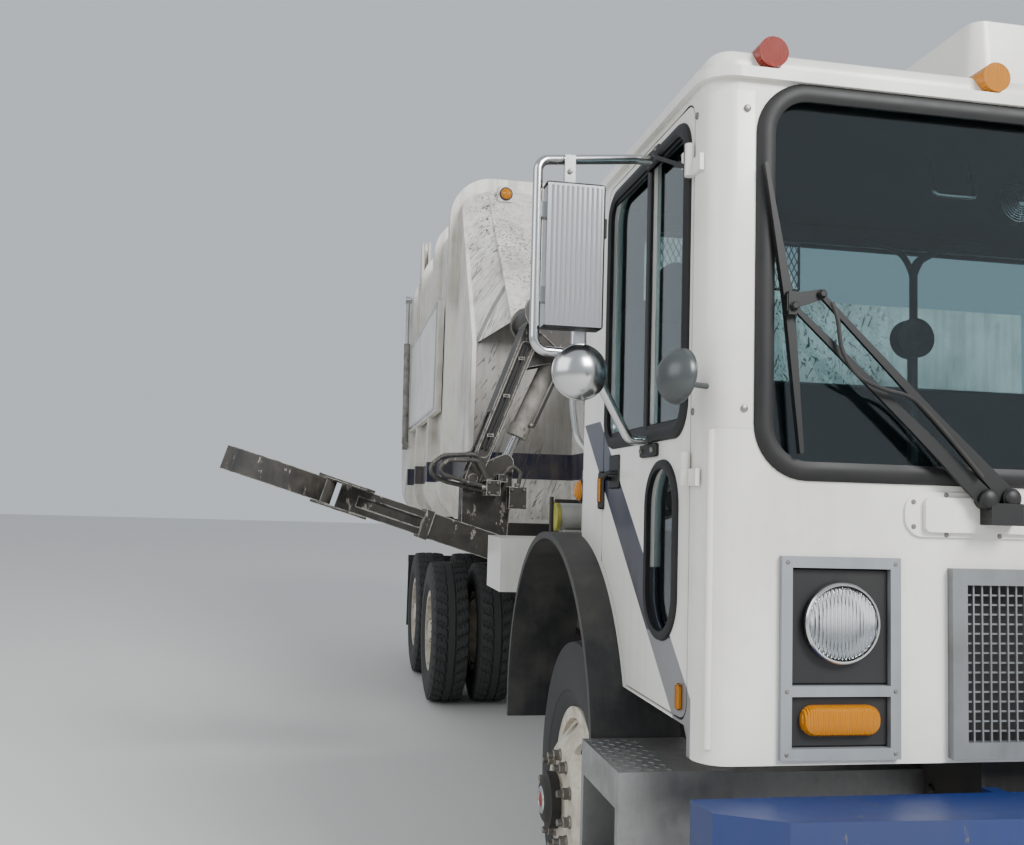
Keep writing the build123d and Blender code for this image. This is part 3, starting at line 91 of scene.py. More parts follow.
@dataclass
class Skin:
    """A mesh in the making: points in truck millimetres and groups of faces with equal corner counts."""

    points: Array
    groups: list[NDArray[np.int64]]

    def turned(self, matrix: Array, about: Sequence[float] = (0, 0, 0)) -> "Skin":
        """Returns the skin turned by a 3 x 3 matrix about a point: p' = M (p - c) + c."""
        centre = np.asarray(about, float)
        return Skin((self.points - centre) @ np.asarray(matrix).T + centre, self.groups)

    def mirrored(self) -> "Skin":
        """Returns the skin on the other side of x = 0, its corners reversed so that it still faces out."""
        return Skin(self.points * np.array([-1.0, 1.0, 1.0]), [g[:, ::-1] for g in self.groups])

    def on(self, side: Side) -> "Skin":
        """Returns a curb-side skin for the given side."""
        return self if side is Side.CURB else self.mirrored()

    def copies(self, offsets: Array) -> "Skin":
        """Returns one skin holding a copy at each offset: every copy's indices grow by the point count.

        Args:
            offsets: Array (n, 3), one row for each copy.
        Returns:
            The skin of all copies.
        """
        offsets = np.atleast_2d(np.asarray(offsets, float))
        count, size = len(offsets), len(self.points)
        points = (self.points[None] + offsets[:, None]).reshape(-1, 3)
        steps = (np.arange(count) * size)[:, None, None]
        return Skin(points, [(g[None] + steps).reshape(-1, g.shape[1]) for g in self.groups])

    def spun(self, centre: Sequence[float], count: int, start: float = 0.0) -> "Skin":
        """Returns copies turned about the x line through centre, at equal angles from start, in radians.

        Args:
            centre: A point on the line.
            count: How many copies.
            start: The first copy's angle.
        Returns:
            The skin of all copies.
        """
        angles = start + 2 * np.pi * np.arange(count) / count
        zero, one = np.zeros(count), np.ones(count)
        c, s = np.cos(angles), np.sin(angles)
        turns = np.stack([one, zero, zero, zero, c, -s, zero, s, c], axis=1).reshape(count, 3, 3)
        middle = np.asarray(centre, float)
        points = np.einsum("kij,pj->kpi", turns, self.points - middle) + middle
        steps = (np.arange(count) * len(self.points))[:, None, None]
        return Skin(points.reshape(-1, 3), [(g[None] + steps).reshape(-1, g.shape[1]) for g in self.groups])


def joined(skins: Iterable[Skin]) -> Skin:
    """Joins skins into one: points are stacked and each skin's indices grow by the points before it.

    Args:
        skins: The skins, in order.
    Returns:
        The one skin.
    """
    skins = list(skins)
    base = np.cumsum([0] + [len(s.points) for s in skins[:-1]])
    groups = [g + b for s, b in zip(skins, base) for g in s.groups]
    return Skin(np.vstack([s.points for s in skins]), groups)


def grid(points: Array, wrap_u: bool = False, wrap_v: bool = False, cap: bool = False) -> Skin:
    """Turns a grid of points into quads.

    Args:
        points: Array (n, m, 3): row i is the shape's value at parameter u_i for every v_j.
        wrap_u: Joins the last row to the first.
        wrap_v: Joins the last column to the first.
        cap: Closes the first and last rows with one face each; used with wrap_v.
    Returns:
        The skin; cell (i, j) is the quad of points (i, j), (i+1, j), (i+1, j+1), (i, j+1).
    """
    n, m = points.shape[:2]
    i = np.arange(n if wrap_u else n - 1)[:, None]
    j = np.arange(m if wrap_v else m - 1)[None]
    i2, j2 = (i + 1) % n, (j + 1) % m
    quads = np.stack([i * m + j, i2 * m + j, i2 * m + j2, i * m + j2], axis=-1).reshape(-1, 4)
    groups = [quads]
    if cap:
        groups += [np.arange(m)[None], ((n - 1) * m + np.arange(m)[::-1])[None]]
    return Skin(points.reshape(-1, 3).astype(float), groups)


def sweep(path: Array, section: Array, closed: bool, up: Sequence[float], wrap: bool = True) -> Skin:
    """Carries a flat section along a path.

    Args:
        path: Array (n, 3) of points.
        section: Array (m, 2): first value across the path, second along the up direction.
        closed: Whether the path is a ring.
        up: A direction that the section's second axis leans to.
        wrap: Whether the section is a ring.
    Returns:
        The skin p(i, j) = path_i + section_j0 * across_i + section_j1 * lift_i, where across is tangent x up
        and lift is across x tangent, all unit vectors.
    """
    if closed:
        tangent = np.roll(path, -1, axis=0) - np.roll(path, 1, axis=0)
    else:
        tangent = np.gradient(path, axis=0)
    tangent /= np.linalg.norm(tangent, axis=1)[:, None]
    across = np.cross(tangent, np.asarray(up, float)[None])
    across /= np.linalg.norm(across, axis=1)[:, None]
    lift = np.cross(across, tangent)
    points = path[:, None] + section[None, :, :1] * across[:, None] + section[None, :, 1:] * lift[:, None]
    return grid(points[:, ::-1], wrap_u=closed, wrap_v=wrap, cap=wrap and not closed)


def ring(radius: float, count: int, start: float = 0.0) -> Array:
    """Points of a circle in its plane: (r cos t, r sin t)."""
    t = start + 2 * np.pi * np.arange(count) / count
    return radius * np.stack([np.cos(t), np.sin(t)], axis=1)


def smooth_path(corners: Sequence[Sequence[float]], steps: int = 8) -> Array:
    """A Catmull-Rom curve through corners: cubic spans whose end slopes are half the neighbours' gap.

    Args:
        corners: The points that the curve passes.
        steps: Points on each span.
    Returns:
        Array (n, 3) of points.
    """
    p = np.asarray(corners, float)
    p = np.vstack([2 * p[0] - p[1], p, 2 * p[-1] - p[-2]])
    t = np.linspace(0, 1, steps, endpoint=False)[None, :, None]
    a, b, c, d = (p[k : len(p) - 3 + k][:, None] for k in range(4))
    spans = 0.5 * (2 * b + (c - a) * t + (2 * a - 5 * b + 4 * c - d) * t**2 + (3 * b - a - 3 * c + d) * t**3)
    return np.vstack([spans.reshape(-1, 3), p[-2][None]])


def bent_path(corners: Sequence[Sequence[float]], radius: float, steps: int = 7) -> Array:
    """Straight runs whose corners are quadratic curves that start and end radius away from the corner.

    Args:
        corners: The points where the straight runs would meet.
        radius: How far from its corner a curve starts, at most.
        steps: Points on each curve.
    Returns:
        Array (n, 3) of points.
    """
    p = np.asarray(corners, float)
    before = p[:-2] - p[1:-1]
    after = p[2:] - p[1:-1]
    lb, la = np.linalg.norm(before, axis=1)[:, None], np.linalg.norm(after, axis=1)[:, None]
    reach = np.minimum(radius, 0.45 * np.minimum(lb, la))
    start, end = p[1:-1] + before / lb * reach, p[1:-1] + after / la * reach
    t = np.linspace(0, 1, steps)[None, :, None]
    arcs = (1 - t) ** 2 * start[:, None] + 2 * t * (1 - t) * p[1:-1][:, None] + t**2 * end[:, None]
    return np.vstack([p[:1], arcs.reshape(-1, 3), p[-1:]])


def tube(path: Array, radius: float, sides: int = 12, up: Sequence[float] = (0.3, 0.2, 0.93)) -> Skin:
    """A round tube: a circle of the given radius carried along the path, closed at both ends."""
    return sweep(path, ring(radius, sides), False, up)


def turned(profile: Sequence[Sequence[float]], origin: Sequence[float], axis: Sequence[float],
           sides: int = 32) -> Skin:
    """A turned shape: each pair makes the circle origin + distance * axis + radius * (cos, sin).

    Args:
        profile: Pairs (distance along the axis, radius), from the back round to the front.
        origin: The zero of the distances.
        axis: Direction of the axis.
        sides: Points round each circle.
    Returns:
        The closed skin, with its ends capped.
    """
    rows = np.asarray(profile, float)
    a = np.asarray(axis, float)
    a = a / np.linalg.norm(a)
    helper = np.array([0.0, 0.0, 1.0]) if abs(a[2]) < 0.9 else np.array([0.0, 1.0, 0.0])
    e1 = np.cross(helper, a)
    e1 /= np.linalg.norm(e1)
    e2 = np.cross(a, e1)
    circle = ring(1.0, sides)
    spread = circle[None, :, :1] * e1 + circle[None, :, 1:] * e2
    points = np.asarray(origin, float) + rows[:, None, :1] * a + rows[:, None, 1:] * spread
    return grid(points[:, ::-1], wrap_v=True, cap=True)


def block(low: Sequence[float], high: Sequence[float], chamfer: float = 2.0) -> Skin:
    """A box with chamfered edges: four rings of eight corners, pulled in at the top and bottom.

    Args:
        low: One corner.
        high: The opposite corner.
        chamfer: Width of the chamfer, at most 0.45 of the thinnest side.
    Returns:
        The closed skin.
    """
    lo, hi = np.minimum(low, high).astype(float), np.maximum(low, high).astype(float)
    c = min(chamfer, 0.45 * float(np.min(hi - lo)))

    def loop(inset: float, z: float) -> Array:
        """One ring of eight corners at height z, pulled in by inset.

        Args:
            inset: How far the ring is pulled in.
            z: Its height.
        Returns:
            Array (8, 3) of points.
        """
        x0, y0, x1, y1 = lo[0] + inset, lo[1] + inset, hi[0] - inset, hi[1] - inset
        xs = [x0 + c, x1 - c, x1, x1, x1 - c, x0 + c, x0, x0]
        ys = [y0, y0, y0 + c, y1 - c, y1, y1, y1 - c, y0 + c]
        return np.stack([xs, ys, np.full(8, z)], axis=1)

    rows = np.stack([loop(c, lo[2]), loop(0, lo[2] + c), loop(0, hi[2] - c), loop(c, hi[2])])
    return grid(rows[:, ::-1], wrap_v=True, cap=True)


def rounded_loop(a: Sequence[float], b: Sequence[float], radius: float, steps: int = 7) -> Array:
    """An oblong a by b with quarter-circle corners: centre + r (cos t, sin t), t running once round.

    Args:
        a: Limits along the first axis.
        b: Limits along the second axis.
        radius: Radius of the corners.
        steps: Points on each corner.
    Returns:
        Array (4 * steps, 2) of points.
    """
    (a0, a1), (b0, b1) = a, b
    t = np.linspace(0, np.pi / 2, steps)
    arcs = []
    for k, (ca, cb) in enumerate(((a1 - radius, b1 - radius), (a0 + radius, b1 - radius),
                                  (a0 + radius, b0 + radius), (a1 - radius, b0 + radius))):
        turn = t + k * np.pi / 2
        arcs.append(np.stack([ca + radius * np.cos(turn), cb + radius * np.sin(turn)], 1))
    return np.vstack(arcs)


def in_side_plane(loop: Array, x: float) -> Array:
    """Sets a flat (y, z) loop into the side plane at x."""
    return np.column_stack([np.full(len(loop), x), loop])


def in_front_plane(loop: Array, y: float) -> Array:
    """Sets a flat (x, z) loop into the plane across the truck at y."""
    return np.column_stack([loop[:, 0], np.full(len(loop), y), loop[:, 1]])


# Materials made of nodes


def linear(code: str, alpha: float = 1.0) -> tuple[float, float, float, float]:
    """Turns an sRGB hex colour into linear light: c/12.92 below 0.04045, else ((c + 0.055)/1.055)^2.4.

    Args:
        code: The colour as #rrggbb.
        alpha: The fourth value.
    Returns:
        Red, green, blue and alpha.
    """
    c = np.array([int(code[k : k + 2], 16) for k in (1, 3, 5)]) / 255
    c = np.where(c <= 0.04045, c / 12.92, ((c + 0.055) / 1.055) ** 2.4)
    return (float(c[0]), float(c[1]), float(c[2]), alpha)


def add_node(tree: bpy.types.NodeTree, kind: str, settings: dict[str, Any] | None = None,
             links: dict[Any, bpy.types.NodeSocket] | None = None) -> bpy.types.Node:
    """Adds one shader node.

    Args:
        tree: The material's node tree.
        kind: The node's type name without the ShaderNode prefix.
        settings: Attribute names, or input names and numbers, with their values.
        links: Input names or numbers with the sockets that feed them.
    Returns:
        The node.
    """
    node = tree.nodes.new("ShaderNode" + kind)
    for key, value in (settings or {}).items():
        if isinstance(key, str) and hasattr(node, key):
            setattr(node, key, value)
        else:
            node.inputs[key].default_value = value
    for key, socket in (links or {}).items():
        tree.links.new(socket, node.inputs[key])
    return node


@dataclass(frozen=True)
class Band:
    """A painted stripe: the space where, for every limit, low < direction . p < high in truck millimetres."""

    limits: tuple[tuple[tuple[float, float, float], float, float], ...]
    colour: str


# The stretch of a noise's values over which each mask rises from 0 to 1; noise lies mostly within 0.3 to 0.7
PATCH_RAMP = (0.42, 0.75)
STREAK_RAMP = (0.45, 0.8)
SPECK_RAMP = (0.62, 0.78)
WORN_RAMP = (0.66, 0.70)
SCUFF_RAMP = (0.60, 0.66)
SCUFF_PATCH_RAMP = (0.44, 0.56)
EDGE_PATCH_RAMP = (0.36, 0.52)
# How far the rounded normal leans from the true one at a worn edge, as a cosine
EDGE_LEAN = (0.995, 0.93)
# Streaks are this share of a patch wide and this many times longer down than across
STREAK_WIDTH = 0.12
STREAK_SHAPE = (1, 1, 14)
# Worn spots are this many times longer down than across, and a full share moves their ramp down by this much
WORN_SHAPE = (1, 1, 2.5)
WORN_SHIFT = 0.3
# Specks of dirt, the patches that hold scuffs, and the breaks along a worn edge
SPECK_MM = 9.0
SCUFF_PATCH_MM = 700.0
EDGE_PATCH_MM = 45.0
SPECK_SHARE = 0.25
# How much rougher full dirt is than the clean finish
DIRT_ROUGHNESS = 0.45
# Half the soft edge of a painted stripe, and the depth of a lens's ribs
STRIPE_SOFT_M = 0.0012
RIB_DEPTH_M = 0.0015


@dataclass(frozen=True)
class Finish:
    """A material made of a base colour, grime that gathers in patches and streaks, fine bump and wear."""

    name: str
    base: str
    roughness: float
    metallic: float = 0.0
    grime: str = "#5a5348"
    grime_share: float = 0.25
    patch_mm: float = 350.0
    streaks: float = 0.3
    grain_mm: float = 3.0
    grain_depth_mm: float = 0.05
    wave_mm: float = 0.0
    wave_depth_mm: float = 0.0
    coat: float = 0.0
    worn: str = ""
    worn_share: float = 0.0
    worn_mm: float = 60.0
    bands: tuple[Band, ...] = ()
    scratch: str = ""
    scratch_mm: tuple[float, float] = (16.0, 900.0)
    scratch_ways: tuple[tuple[float, float, float], ...] = ((0.55, -0.2, 0.81),)
    scratch_bend: float = 0.03
    edge: str = ""
    edge_mm: float = 5.0

    def build(self) -> bpy.types.Material:
        """Returns the material, made once: the base, grime as patches + streaks + specks, wear on top.

        Returns:
            The material.
        """
        found = bpy.data.materials.get(self.name)
        if found:
            return found
        material = bpy.data.materials.new(self.name)
        material.use_nodes = True
        tree = material.node_tree
        tree.nodes.clear()
        coord = add_node(tree, "TexCoord").outputs["Object"]
        colour, rough = self._colour(tree, coord)
        settings: dict[str, Any] = {"Metallic": self.metallic}
        if self.coat:
            settings |= {"Coat Weight": self.coat, "Coat Roughness": 0.08}
        shader = add_node(tree, "BsdfPrincipled", settings,
                          {"Base Color": colour, "Roughness": rough, "Normal": self._bump(tree, coord)})
        add_node(tree, "OutputMaterial", {}, {"Surface": shader.outputs[0]})
        return material

    def _noise(self, tree: bpy.types.NodeTree, coord: bpy.types.NodeSocket, size_mm: float,
               detail: float = 4.0, stretch: tuple[float, float, float] = (1, 1, 1),
               rough: float = 0.6) -> bpy.types.NodeSocket:
        """Returns a noise value whose blobs are about size_mm across, stretched along each axis.

        Args:
            tree: The material's node tree.
            coord: The socket that gives each point's place.
            size_mm: Size of a blob.
            detail: How many finer layers are added.
            stretch: How many times longer a blob is along each axis.
            rough: How strong the finer layers are.
        Returns:
            The value's socket.
        """
        scale = 1000.0 / size_mm
        spread = add_node(tree, "Mapping", {"Scale": tuple(scale / s for s in stretch)}, {"Vector": coord})
        return add_node(tree, "TexNoise", {"Scale": 1.0, "Detail": detail, "Roughness": rough},
                        {"Vector": spread.outputs[0]}).outputs["Fac"]

    def _ramp(self, tree: bpy.types.NodeTree, value: bpy.types.NodeSocket, low: float,
              high: float) -> bpy.types.NodeSocket:
        """Returns the value stretched so that low becomes 0 and high becomes 1, clamped."""
        return add_node(tree, "MapRange", {"From Min": low, "From Max": high}, {"Value": value}).outputs[0]

    def _mix(self, tree: bpy.types.NodeTree, share: bpy.types.NodeSocket | float, first: Any,
             second: Any) -> bpy.types.NodeSocket:
        """Returns a colour mixed from first to second by share.

        Args:
            tree: The material's node tree.
            share: A socket or number from 0 to 1.
            first: The colour at 0, a socket or value.
            second: The colour at 1, a socket or value.
        Returns:
            The colour's socket.
        """
        node = add_node(tree, "Mix", {"data_type": "RGBA"})
        for index, value in ((0, share), (6, first), (7, second)):
            if isinstance(value, bpy.types.NodeSocket):
                tree.links.new(value, node.inputs[index])
            else:
                node.inputs[index].default_value = value
        return node.outputs[2]

    def _times(self, tree: bpy.types.NodeTree, a: Any, b: Any,
               operation: str = "MULTIPLY") -> bpy.types.NodeSocket:
        """Returns a combined with b by a maths operation, clamped to 0..1.

        Args:
            tree: The material's node tree.
            a: A socket or number.
            b: A socket or number.
            operation: The maths node's operation.
        Returns:
            The result's socket.
        """
        node = add_node(tree, "Math", {"operation": operation, "use_clamp": True})
        for index, value in ((0, a), (1, b)):
            if isinstance(value, bpy.types.NodeSocket):
                tree.links.new(value, node.inputs[index])
            else:
                node.inputs[index].default_value = value
        return node.outputs[0]

    def _colour(self, tree: bpy.types.NodeTree, coord: bpy.types.NodeSocket) -> tuple[Any, Any]:
        """Returns the sockets of colour and roughness.

        Args:
            tree: The material's node tree.
            coord: The socket that gives each point's place.
        Returns:
            The two sockets.
        """
        colour: Any = linear(self.base)
        for band in self.bands:
            inside: Any = 1.0
            for direction, low, high in band.limits:
                along = add_node(tree, "VectorMath", {"operation": "DOT_PRODUCT", 1: direction},
                                 {0: coord}).outputs["Value"]
                base = float(np.dot(direction, TRUCK_ZERO))
                low_m, high_m = low / 1000 + base, high / 1000 + base
                rise = self._ramp(tree, along, low_m - STRIPE_SOFT_M, low_m + STRIPE_SOFT_M)
                fall = self._ramp(tree, along, high_m + STRIPE_SOFT_M, high_m - STRIPE_SOFT_M)
                inside = self._times(tree, self._times(tree, rise, fall), inside)
            colour = self._mix(tree, inside, colour, linear(band.colour))
        patches = self._ramp(tree, self._noise(tree, coord, self.patch_mm), *PATCH_RAMP)
        runs = self._noise(tree, coord, self.patch_mm * STREAK_WIDTH, 3.0, STREAK_SHAPE)
        streak = self._ramp(tree, runs, *STREAK_RAMP)
        speck = self._ramp(tree, self._noise(tree, coord, SPECK_MM, 2.0), *SPECK_RAMP)
        dirt = self._times(tree, self._times(tree, patches, self.grime_share),
                           self._times(tree, streak, self.streaks * self.grime_share), "ADD")
        dirt = self._times(tree, dirt, self._times(tree, speck, SPECK_SHARE * self.grime_share), "ADD")
        colour = self._mix(tree, dirt, colour, linear(self.grime))
        dirty = min(1.0, self.roughness + DIRT_ROUGHNESS)
        rough = add_node(tree, "MapRange", {"From Min": 0.0, "From Max": 1.0, "To Min": self.roughness,
                                            "To Max": dirty}, {"Value": dirt}).outputs[0]
        if self.worn:
            scuff = self._times(tree, self._noise(tree, coord, self.worn_mm, 6.0, WORN_SHAPE, 0.7), 1.0)
            mask = self._ramp(tree, scuff, *(value - WORN_SHIFT * self.worn_share for value in WORN_RAMP))
            colour = self._mix(tree, mask, colour, linear(self.worn))
        if self.scratch:
            colour = self._mix(tree, self._scratches(tree, coord), colour, linear(self.scratch))
        if self.edge:
            colour = self._mix(tree, self._edges(tree, coord), colour, linear(self.edge))
        return colour, rough

    def _scratches(self, tree: bpy.types.NodeTree, coord: bpy.types.NodeSocket) -> bpy.types.NodeSocket:
        """Returns a mask of long thin scuffs in patches: noise stretched along each scratch direction.

        The stretch takes from a point most of its distance along the direction: v - d (v . d) (1 - w / l),
        where w and l are the scuff's width and length.

        Args:
            tree: The material's node tree.
            coord: The socket that gives each point's place.
        Returns:
            The mask's socket.
        """
        bend = add_node(tree, "TexNoise", {"Scale": 5.0, "Detail": 3.0}, {"Vector": coord}).outputs["Color"]
        bent = add_node(tree, "VectorMath", {"operation": "MULTIPLY_ADD", 1: (self.scratch_bend,) * 3},
                        {0: bend, 2: coord}).outputs[0]
        mask: Any = 0.0
        pinch = self.scratch_mm[0] / self.scratch_mm[1] - 1
        for direction in self.scratch_ways:
            unit = np.array(direction) / np.linalg.norm(direction)
            along = add_node(tree, "VectorMath", {"operation": "DOT_PRODUCT", 1: tuple(unit)},
                             {0: bent}).outputs["Value"]
            pull = add_node(tree, "VectorMath", {"operation": "SCALE", 0: tuple(unit * pinch)},
                            {"Scale": along}).outputs[0]
            drawn = add_node(tree, "VectorMath", {"operation": "ADD"}, {0: bent, 1: pull}).outputs[0]
            value = add_node(tree, "TexNoise", {"Scale": 1000.0 / self.scratch_mm[0], "Detail": 2.0},
                             {"Vector": drawn}).outputs["Fac"]
            mask = self._times(tree, mask, self._ramp(tree, value, *SCUFF_RAMP), "MAXIMUM")
        patch = self._ramp(tree, self._noise(tree, coord, SCUFF_PATCH_MM, 3.0), *SCUFF_PATCH_RAMP)
        return self._times(tree, mask, patch)

    def _edges(self, tree: bpy.types.NodeTree, coord: bpy.types.NodeSocket) -> bpy.types.NodeSocket:
        """Returns a mask of worn edges: where the rounded normal leans off the true one, broken by noise.

        Args:
            tree: The material's node tree.
            coord: The socket that gives each point's place.
        Returns:
            The mask's socket.
        """
        soft = add_node(tree, "Bevel", {"samples": 4, "Radius": self.edge_mm / 1000}).outputs[0]
        true = add_node(tree, "NewGeometry").outputs["Normal"]
        lean = add_node(tree, "VectorMath", {"operation": "DOT_PRODUCT"}, {0: soft, 1: true}).outputs["Value"]
        near = self._ramp(tree, lean, *EDGE_LEAN)
        broken = self._ramp(tree, self._noise(tree, coord, EDGE_PATCH_MM, 5.0), *EDGE_PATCH_RAMP)
        return self._times(tree, near, broken)

    def _bump(self, tree: bpy.types.NodeTree, coord: bpy.types.NodeSocket) -> bpy.types.NodeSocket:
        """Returns a normal with fine grain and, where asked, the slow waves of hand-beaten sheet.

        Args:
            tree: The material's node tree.
            coord: The socket that gives each point's place.
        Returns:
            The normal's socket.
        """
        fine = add_node(tree, "Bump", {"Strength": 0.6, "Distance": self.grain_depth_mm / 1000},
                        {"Height": self._noise(tree, coord, self.grain_mm, 2.0)})
        if not self.wave_mm:
            return fine.outputs[0]
        slow = add_node(tree, "Bump", {"Strength": 1.0, "Distance": self.wave_depth_mm / 1000},
                        {"Height": self._noise(tree, coord, self.wave_mm, 1.0), "Normal": fine.outputs[0]})
        return slow.outputs[0]


@dataclass(frozen=True)
class ClearGlass:
    """Tinted safety glass or a moulded lens: mostly see-through, with a smooth reflecting face."""

    name: str
    tint: str
    roughness: float = 0.02
    ior: float = 1.52
    see_through: float = 1.0
    glow: float = 0.0
    ribs_mm: float = 0.0
    rib_axis: tuple[float, float, float] = (1.0, 0.0, 0.0)

    def build(self) -> bpy.types.Material:
        """Returns the material, made once; ribs are a sine of the distance along the rib axis.

        Returns:
            The material.
        """
        found = bpy.data.materials.get(self.name)
        if found:
            return found
        material = bpy.data.materials.new(self.name)
        material.use_nodes = True
        tree = material.node_tree
        tree.nodes.clear()
        settings: dict[str, Any] = {"Base Color": linear(self.tint), "Roughness": self.roughness,
                                    "IOR": self.ior, "Transmission Weight": self.see_through}
        if self.glow:
            settings |= {"Emission Color": linear(self.tint), "Emission Strength": self.glow}
        links: dict[Any, Any] = {}
        if self.ribs_mm:
            coord = add_node(tree, "TexCoord").outputs["Object"]
            along = add_node(tree, "VectorMath", {"operation": "DOT_PRODUCT", 1: self.rib_axis},
                             {0: coord}).outputs["Value"]
            turns = add_node(tree, "Math", {"operation": "MULTIPLY", 1: 2000 * math.pi / self.ribs_mm},
                             {0: along})
            wave = add_node(tree, "Math", {"operation": "SINE"}, {0: turns.outputs[0]})
            links["Normal"] = add_node(tree, "Bump", {"Strength": 0.8, "Distance": RIB_DEPTH_M},
                                       {"Height": wave.outputs[0]}).outputs[0]
        shader = add_node(tree, "BsdfPrincipled", settings, links)
        add_node(tree, "OutputMaterial", {}, {"Surface": shader.outputs[0]})
        return material


# Finishes of this truck

# Stripe colours, the grey of the painted shade on the front wall, and the directions and limits that bound
# them
NAVY = "#151b36"
FADED_NAVY = "#77767a"
SHADED_WALL = "#8f8d88"
ACROSS = (1.0, 0.0, 0.0)
ALONG = (0.0, 1.0, 0.0)
UP = (0.0, 0.0, 1.0)
DOOR_STRIPE = ((0.0, -0.6423, 0.7665), 642.0, 769.0)
BEHIND_NOSE = (ALONG, 75.0, 1300.0)
BEHIND_CAB = (ALONG, 3000.0, 9000.0)
BODY_STRIPE = (UP, 1660.0, 1820.0)
CAB_BANDS = (
    Band((DOOR_STRIPE, (UP, 1185.0, 1775.0), BEHIND_NOSE), NAVY),
    Band((DOOR_STRIPE, (UP, 900.0, 1185.0), BEHIND_NOSE), FADED_NAVY),
)
# Painted shade, partly dirt: a grey band on the front wall under the sloping front
FRONT_WALL_PAINTED_SHADE = Band(((ALONG, 3930.0, 3970.0), (UP, 1820.0, 2860.0)), SHADED_WALL)


def navy_stripe(direction: tuple[float, float, float], low: float, high: float) -> Band:
    """Returns the stripe round the body, kept to what lies from low to high along a direction."""
    return Band((BODY_STRIPE, BEHIND_CAB, (direction, low, high)), NAVY)


# Each stripe stops within the sheet, so that a wall's inner face stays white
SHELL_BANDS = (navy_stripe(ACROSS, -1400.0, -1141.5), navy_stripe(ACROSS, 1141.5, 1400.0))
HOOD_BANDS = (navy_stripe(ALONG, 3000.0, 3973.0), FRONT_WALL_PAINTED_SHADE)
HOPPER_BANDS = (navy_stripe(ACROSS, -600.0, -497.0), navy_stripe(ACROSS, 1117.0, 1300.0))

# Glossy cab enamel: a soft sheen with faint road film low down
CAB_ENAMEL = Finish("cab_enamel_paint", "#e4e2dc", 0.28, grime="#8a8272", grime_share=0.28, patch_mm=420.0,
                    streaks=0.35, grain_mm=2.5, grain_depth_mm=0.02, coat=0.12, bands=CAB_BANDS)
# Enamel on beaten sheet: slow waves bend the light, and dirt runs down in streaks
BODY_ENAMEL = Finish("body_enamel_paint", "#dedbd3", 0.42, grime="#756b5a", grime_share=0.5, patch_mm=520.0,
                     streaks=0.9, grain_mm=6.0, grain_depth_mm=0.06, wave_mm=420.0, wave_depth_mm=3.0,
                     bands=SHELL_BANDS)
# Enamel scuffed by the arm: long dark scrapes over the folded plates, and a grey band of painted shade,
# partly dirt, on the front wall
HOOD_ENAMEL = Finish("scuffed_enamel_and_painted_wall_shade", "#dcd9d1", 0.5, grime="#6a6052", grime_share=0.5,
                     patch_mm=260.0, streaks=0.8, wave_mm=300.0, wave_depth_mm=3.0, bands=HOOD_BANDS,
                     scratch="#57534b", scratch_ways=((0.55, -0.2, 0.81), (0.3, 0.0, 0.95)))
# Enamel round the hopper: short crossing scrapes down to dark primer
HOPPER_ENAMEL = Finish("scratched_hopper_enamel", "#d7d5d0", 0.48, grime="#6a6052", grime_share=0.5,
                       patch_mm=240.0, streaks=0.8, wave_mm=260.0, wave_depth_mm=2.0,
                       bands=HOPPER_BANDS, scratch="#33312e", scratch_mm=(11.0, 190.0),
                       scratch_ways=((0.3, 0.2, 0.93), (-0.6, -0.5, 0.62)), scratch_bend=0.06)
# Tailgate enamel: the body white with heavier streaks
TAILGATE_ENAMEL = Finish("tailgate_enamel_paint", "#dcd9d1", 0.42, grime="#6f6656", grime_share=0.5,
                         streaks=0.8, wave_mm=420.0, wave_depth_mm=2.5)
# Yellow-green cap paint, dulled by oil dust
RESERVOIR_CAP = Finish("green_reservoir_cap_paint", "#a9a648", 0.45, grime="#5d5a3a", grime_share=0.5,
                       patch_mm=70.0)
# Deep blue bumper enamel with small chips
BUMPER_BLUE = Finish("bumper_blue_enamel", "#12295f", 0.38, grime="#3b3c42", grime_share=0.35, worn="#4c4e56",
                     worn_share=0.02, worn_mm=40.0, coat=0.1)
# Chassis black under a brown coat of road dust
CHASSIS_BLACK = Finish("chassis_black_paint", "#1c1b1b", 0.6, grime="#4a4238", grime_share=0.7,
                       patch_mm=240.0, grain_mm=5.0, grain_depth_mm=0.2)
# Oily cast iron: dark with a dull metal glint
ENGINE_IRON = Finish("engine_cast_iron", "#3b3936", 0.7, metallic=0.3, grime="#2a241c", grime_share=0.7)
# Tyre rubber: nearly matt, greyed by dust
TYRE_RUBBER = Finish("tyre_rubber", "#1e1e1e", 0.78, grime="#5c554b", grime_share=0.45, patch_mm=160.0,
                     streaks=0.2, grain_mm=3.0, grain_depth_mm=0.15)
# Cream wheel enamel with rust bleeding from small chips
RIM_ENAMEL = Finish("wheel_disc_enamel", "#cfc8b8", 0.45, grime="#6b5842", grime_share=0.6, patch_mm=90.0,
                    streaks=0.4, worn="#5b4636", worn_share=0.06, worn_mm=22.0)
# Zinc-plated steel: a dull metal glint with rust in the corners
STEEL_NUT = Finish("zinc_plated_nut", "#8d8a84", 0.42, metallic=0.9, grime="#4a3a2c", grime_share=0.6,
                   patch_mm=30.0)
# Grey tank paint, half gloss
TANK_PAINT = Finish("tank_grey_paint", "#a9a8a2", 0.4, grime="#5a5246", grime_share=0.5)
# Bare aluminium tread plate: bright metal under trodden dirt
TREAD_PLATE = Finish("aluminium_tread_plate", "#a8a9a9", 0.42, metallic=1.0, grime="#56524a", grime_share=0.5,
                     patch_mm=120.0)
# Moulded fender rubber: black with a broad soft sheen
FENDER_RUBBER = Finish("fender_rubber", "#232425", 0.5, grime="#6a665f", grime_share=0.35, patch_mm=200.0,
                       grain_mm=4.0, grain_depth_mm=0.1)
# Window gasket rubber: the darkest line round each window
GASKET_RUBBER = Finish("gasket_rubber", "#08080a", 0.55, grime="#3a3835", grime_share=0.2, patch_mm=120.0)
# Moulded black plastic: dark with a small hard highlight
BLACK_PLASTIC = Finish("moulded_black_plastic", "#09090a", 0.5, grime="#34322f", grime_share=0.15,
                       grain_mm=1.5)
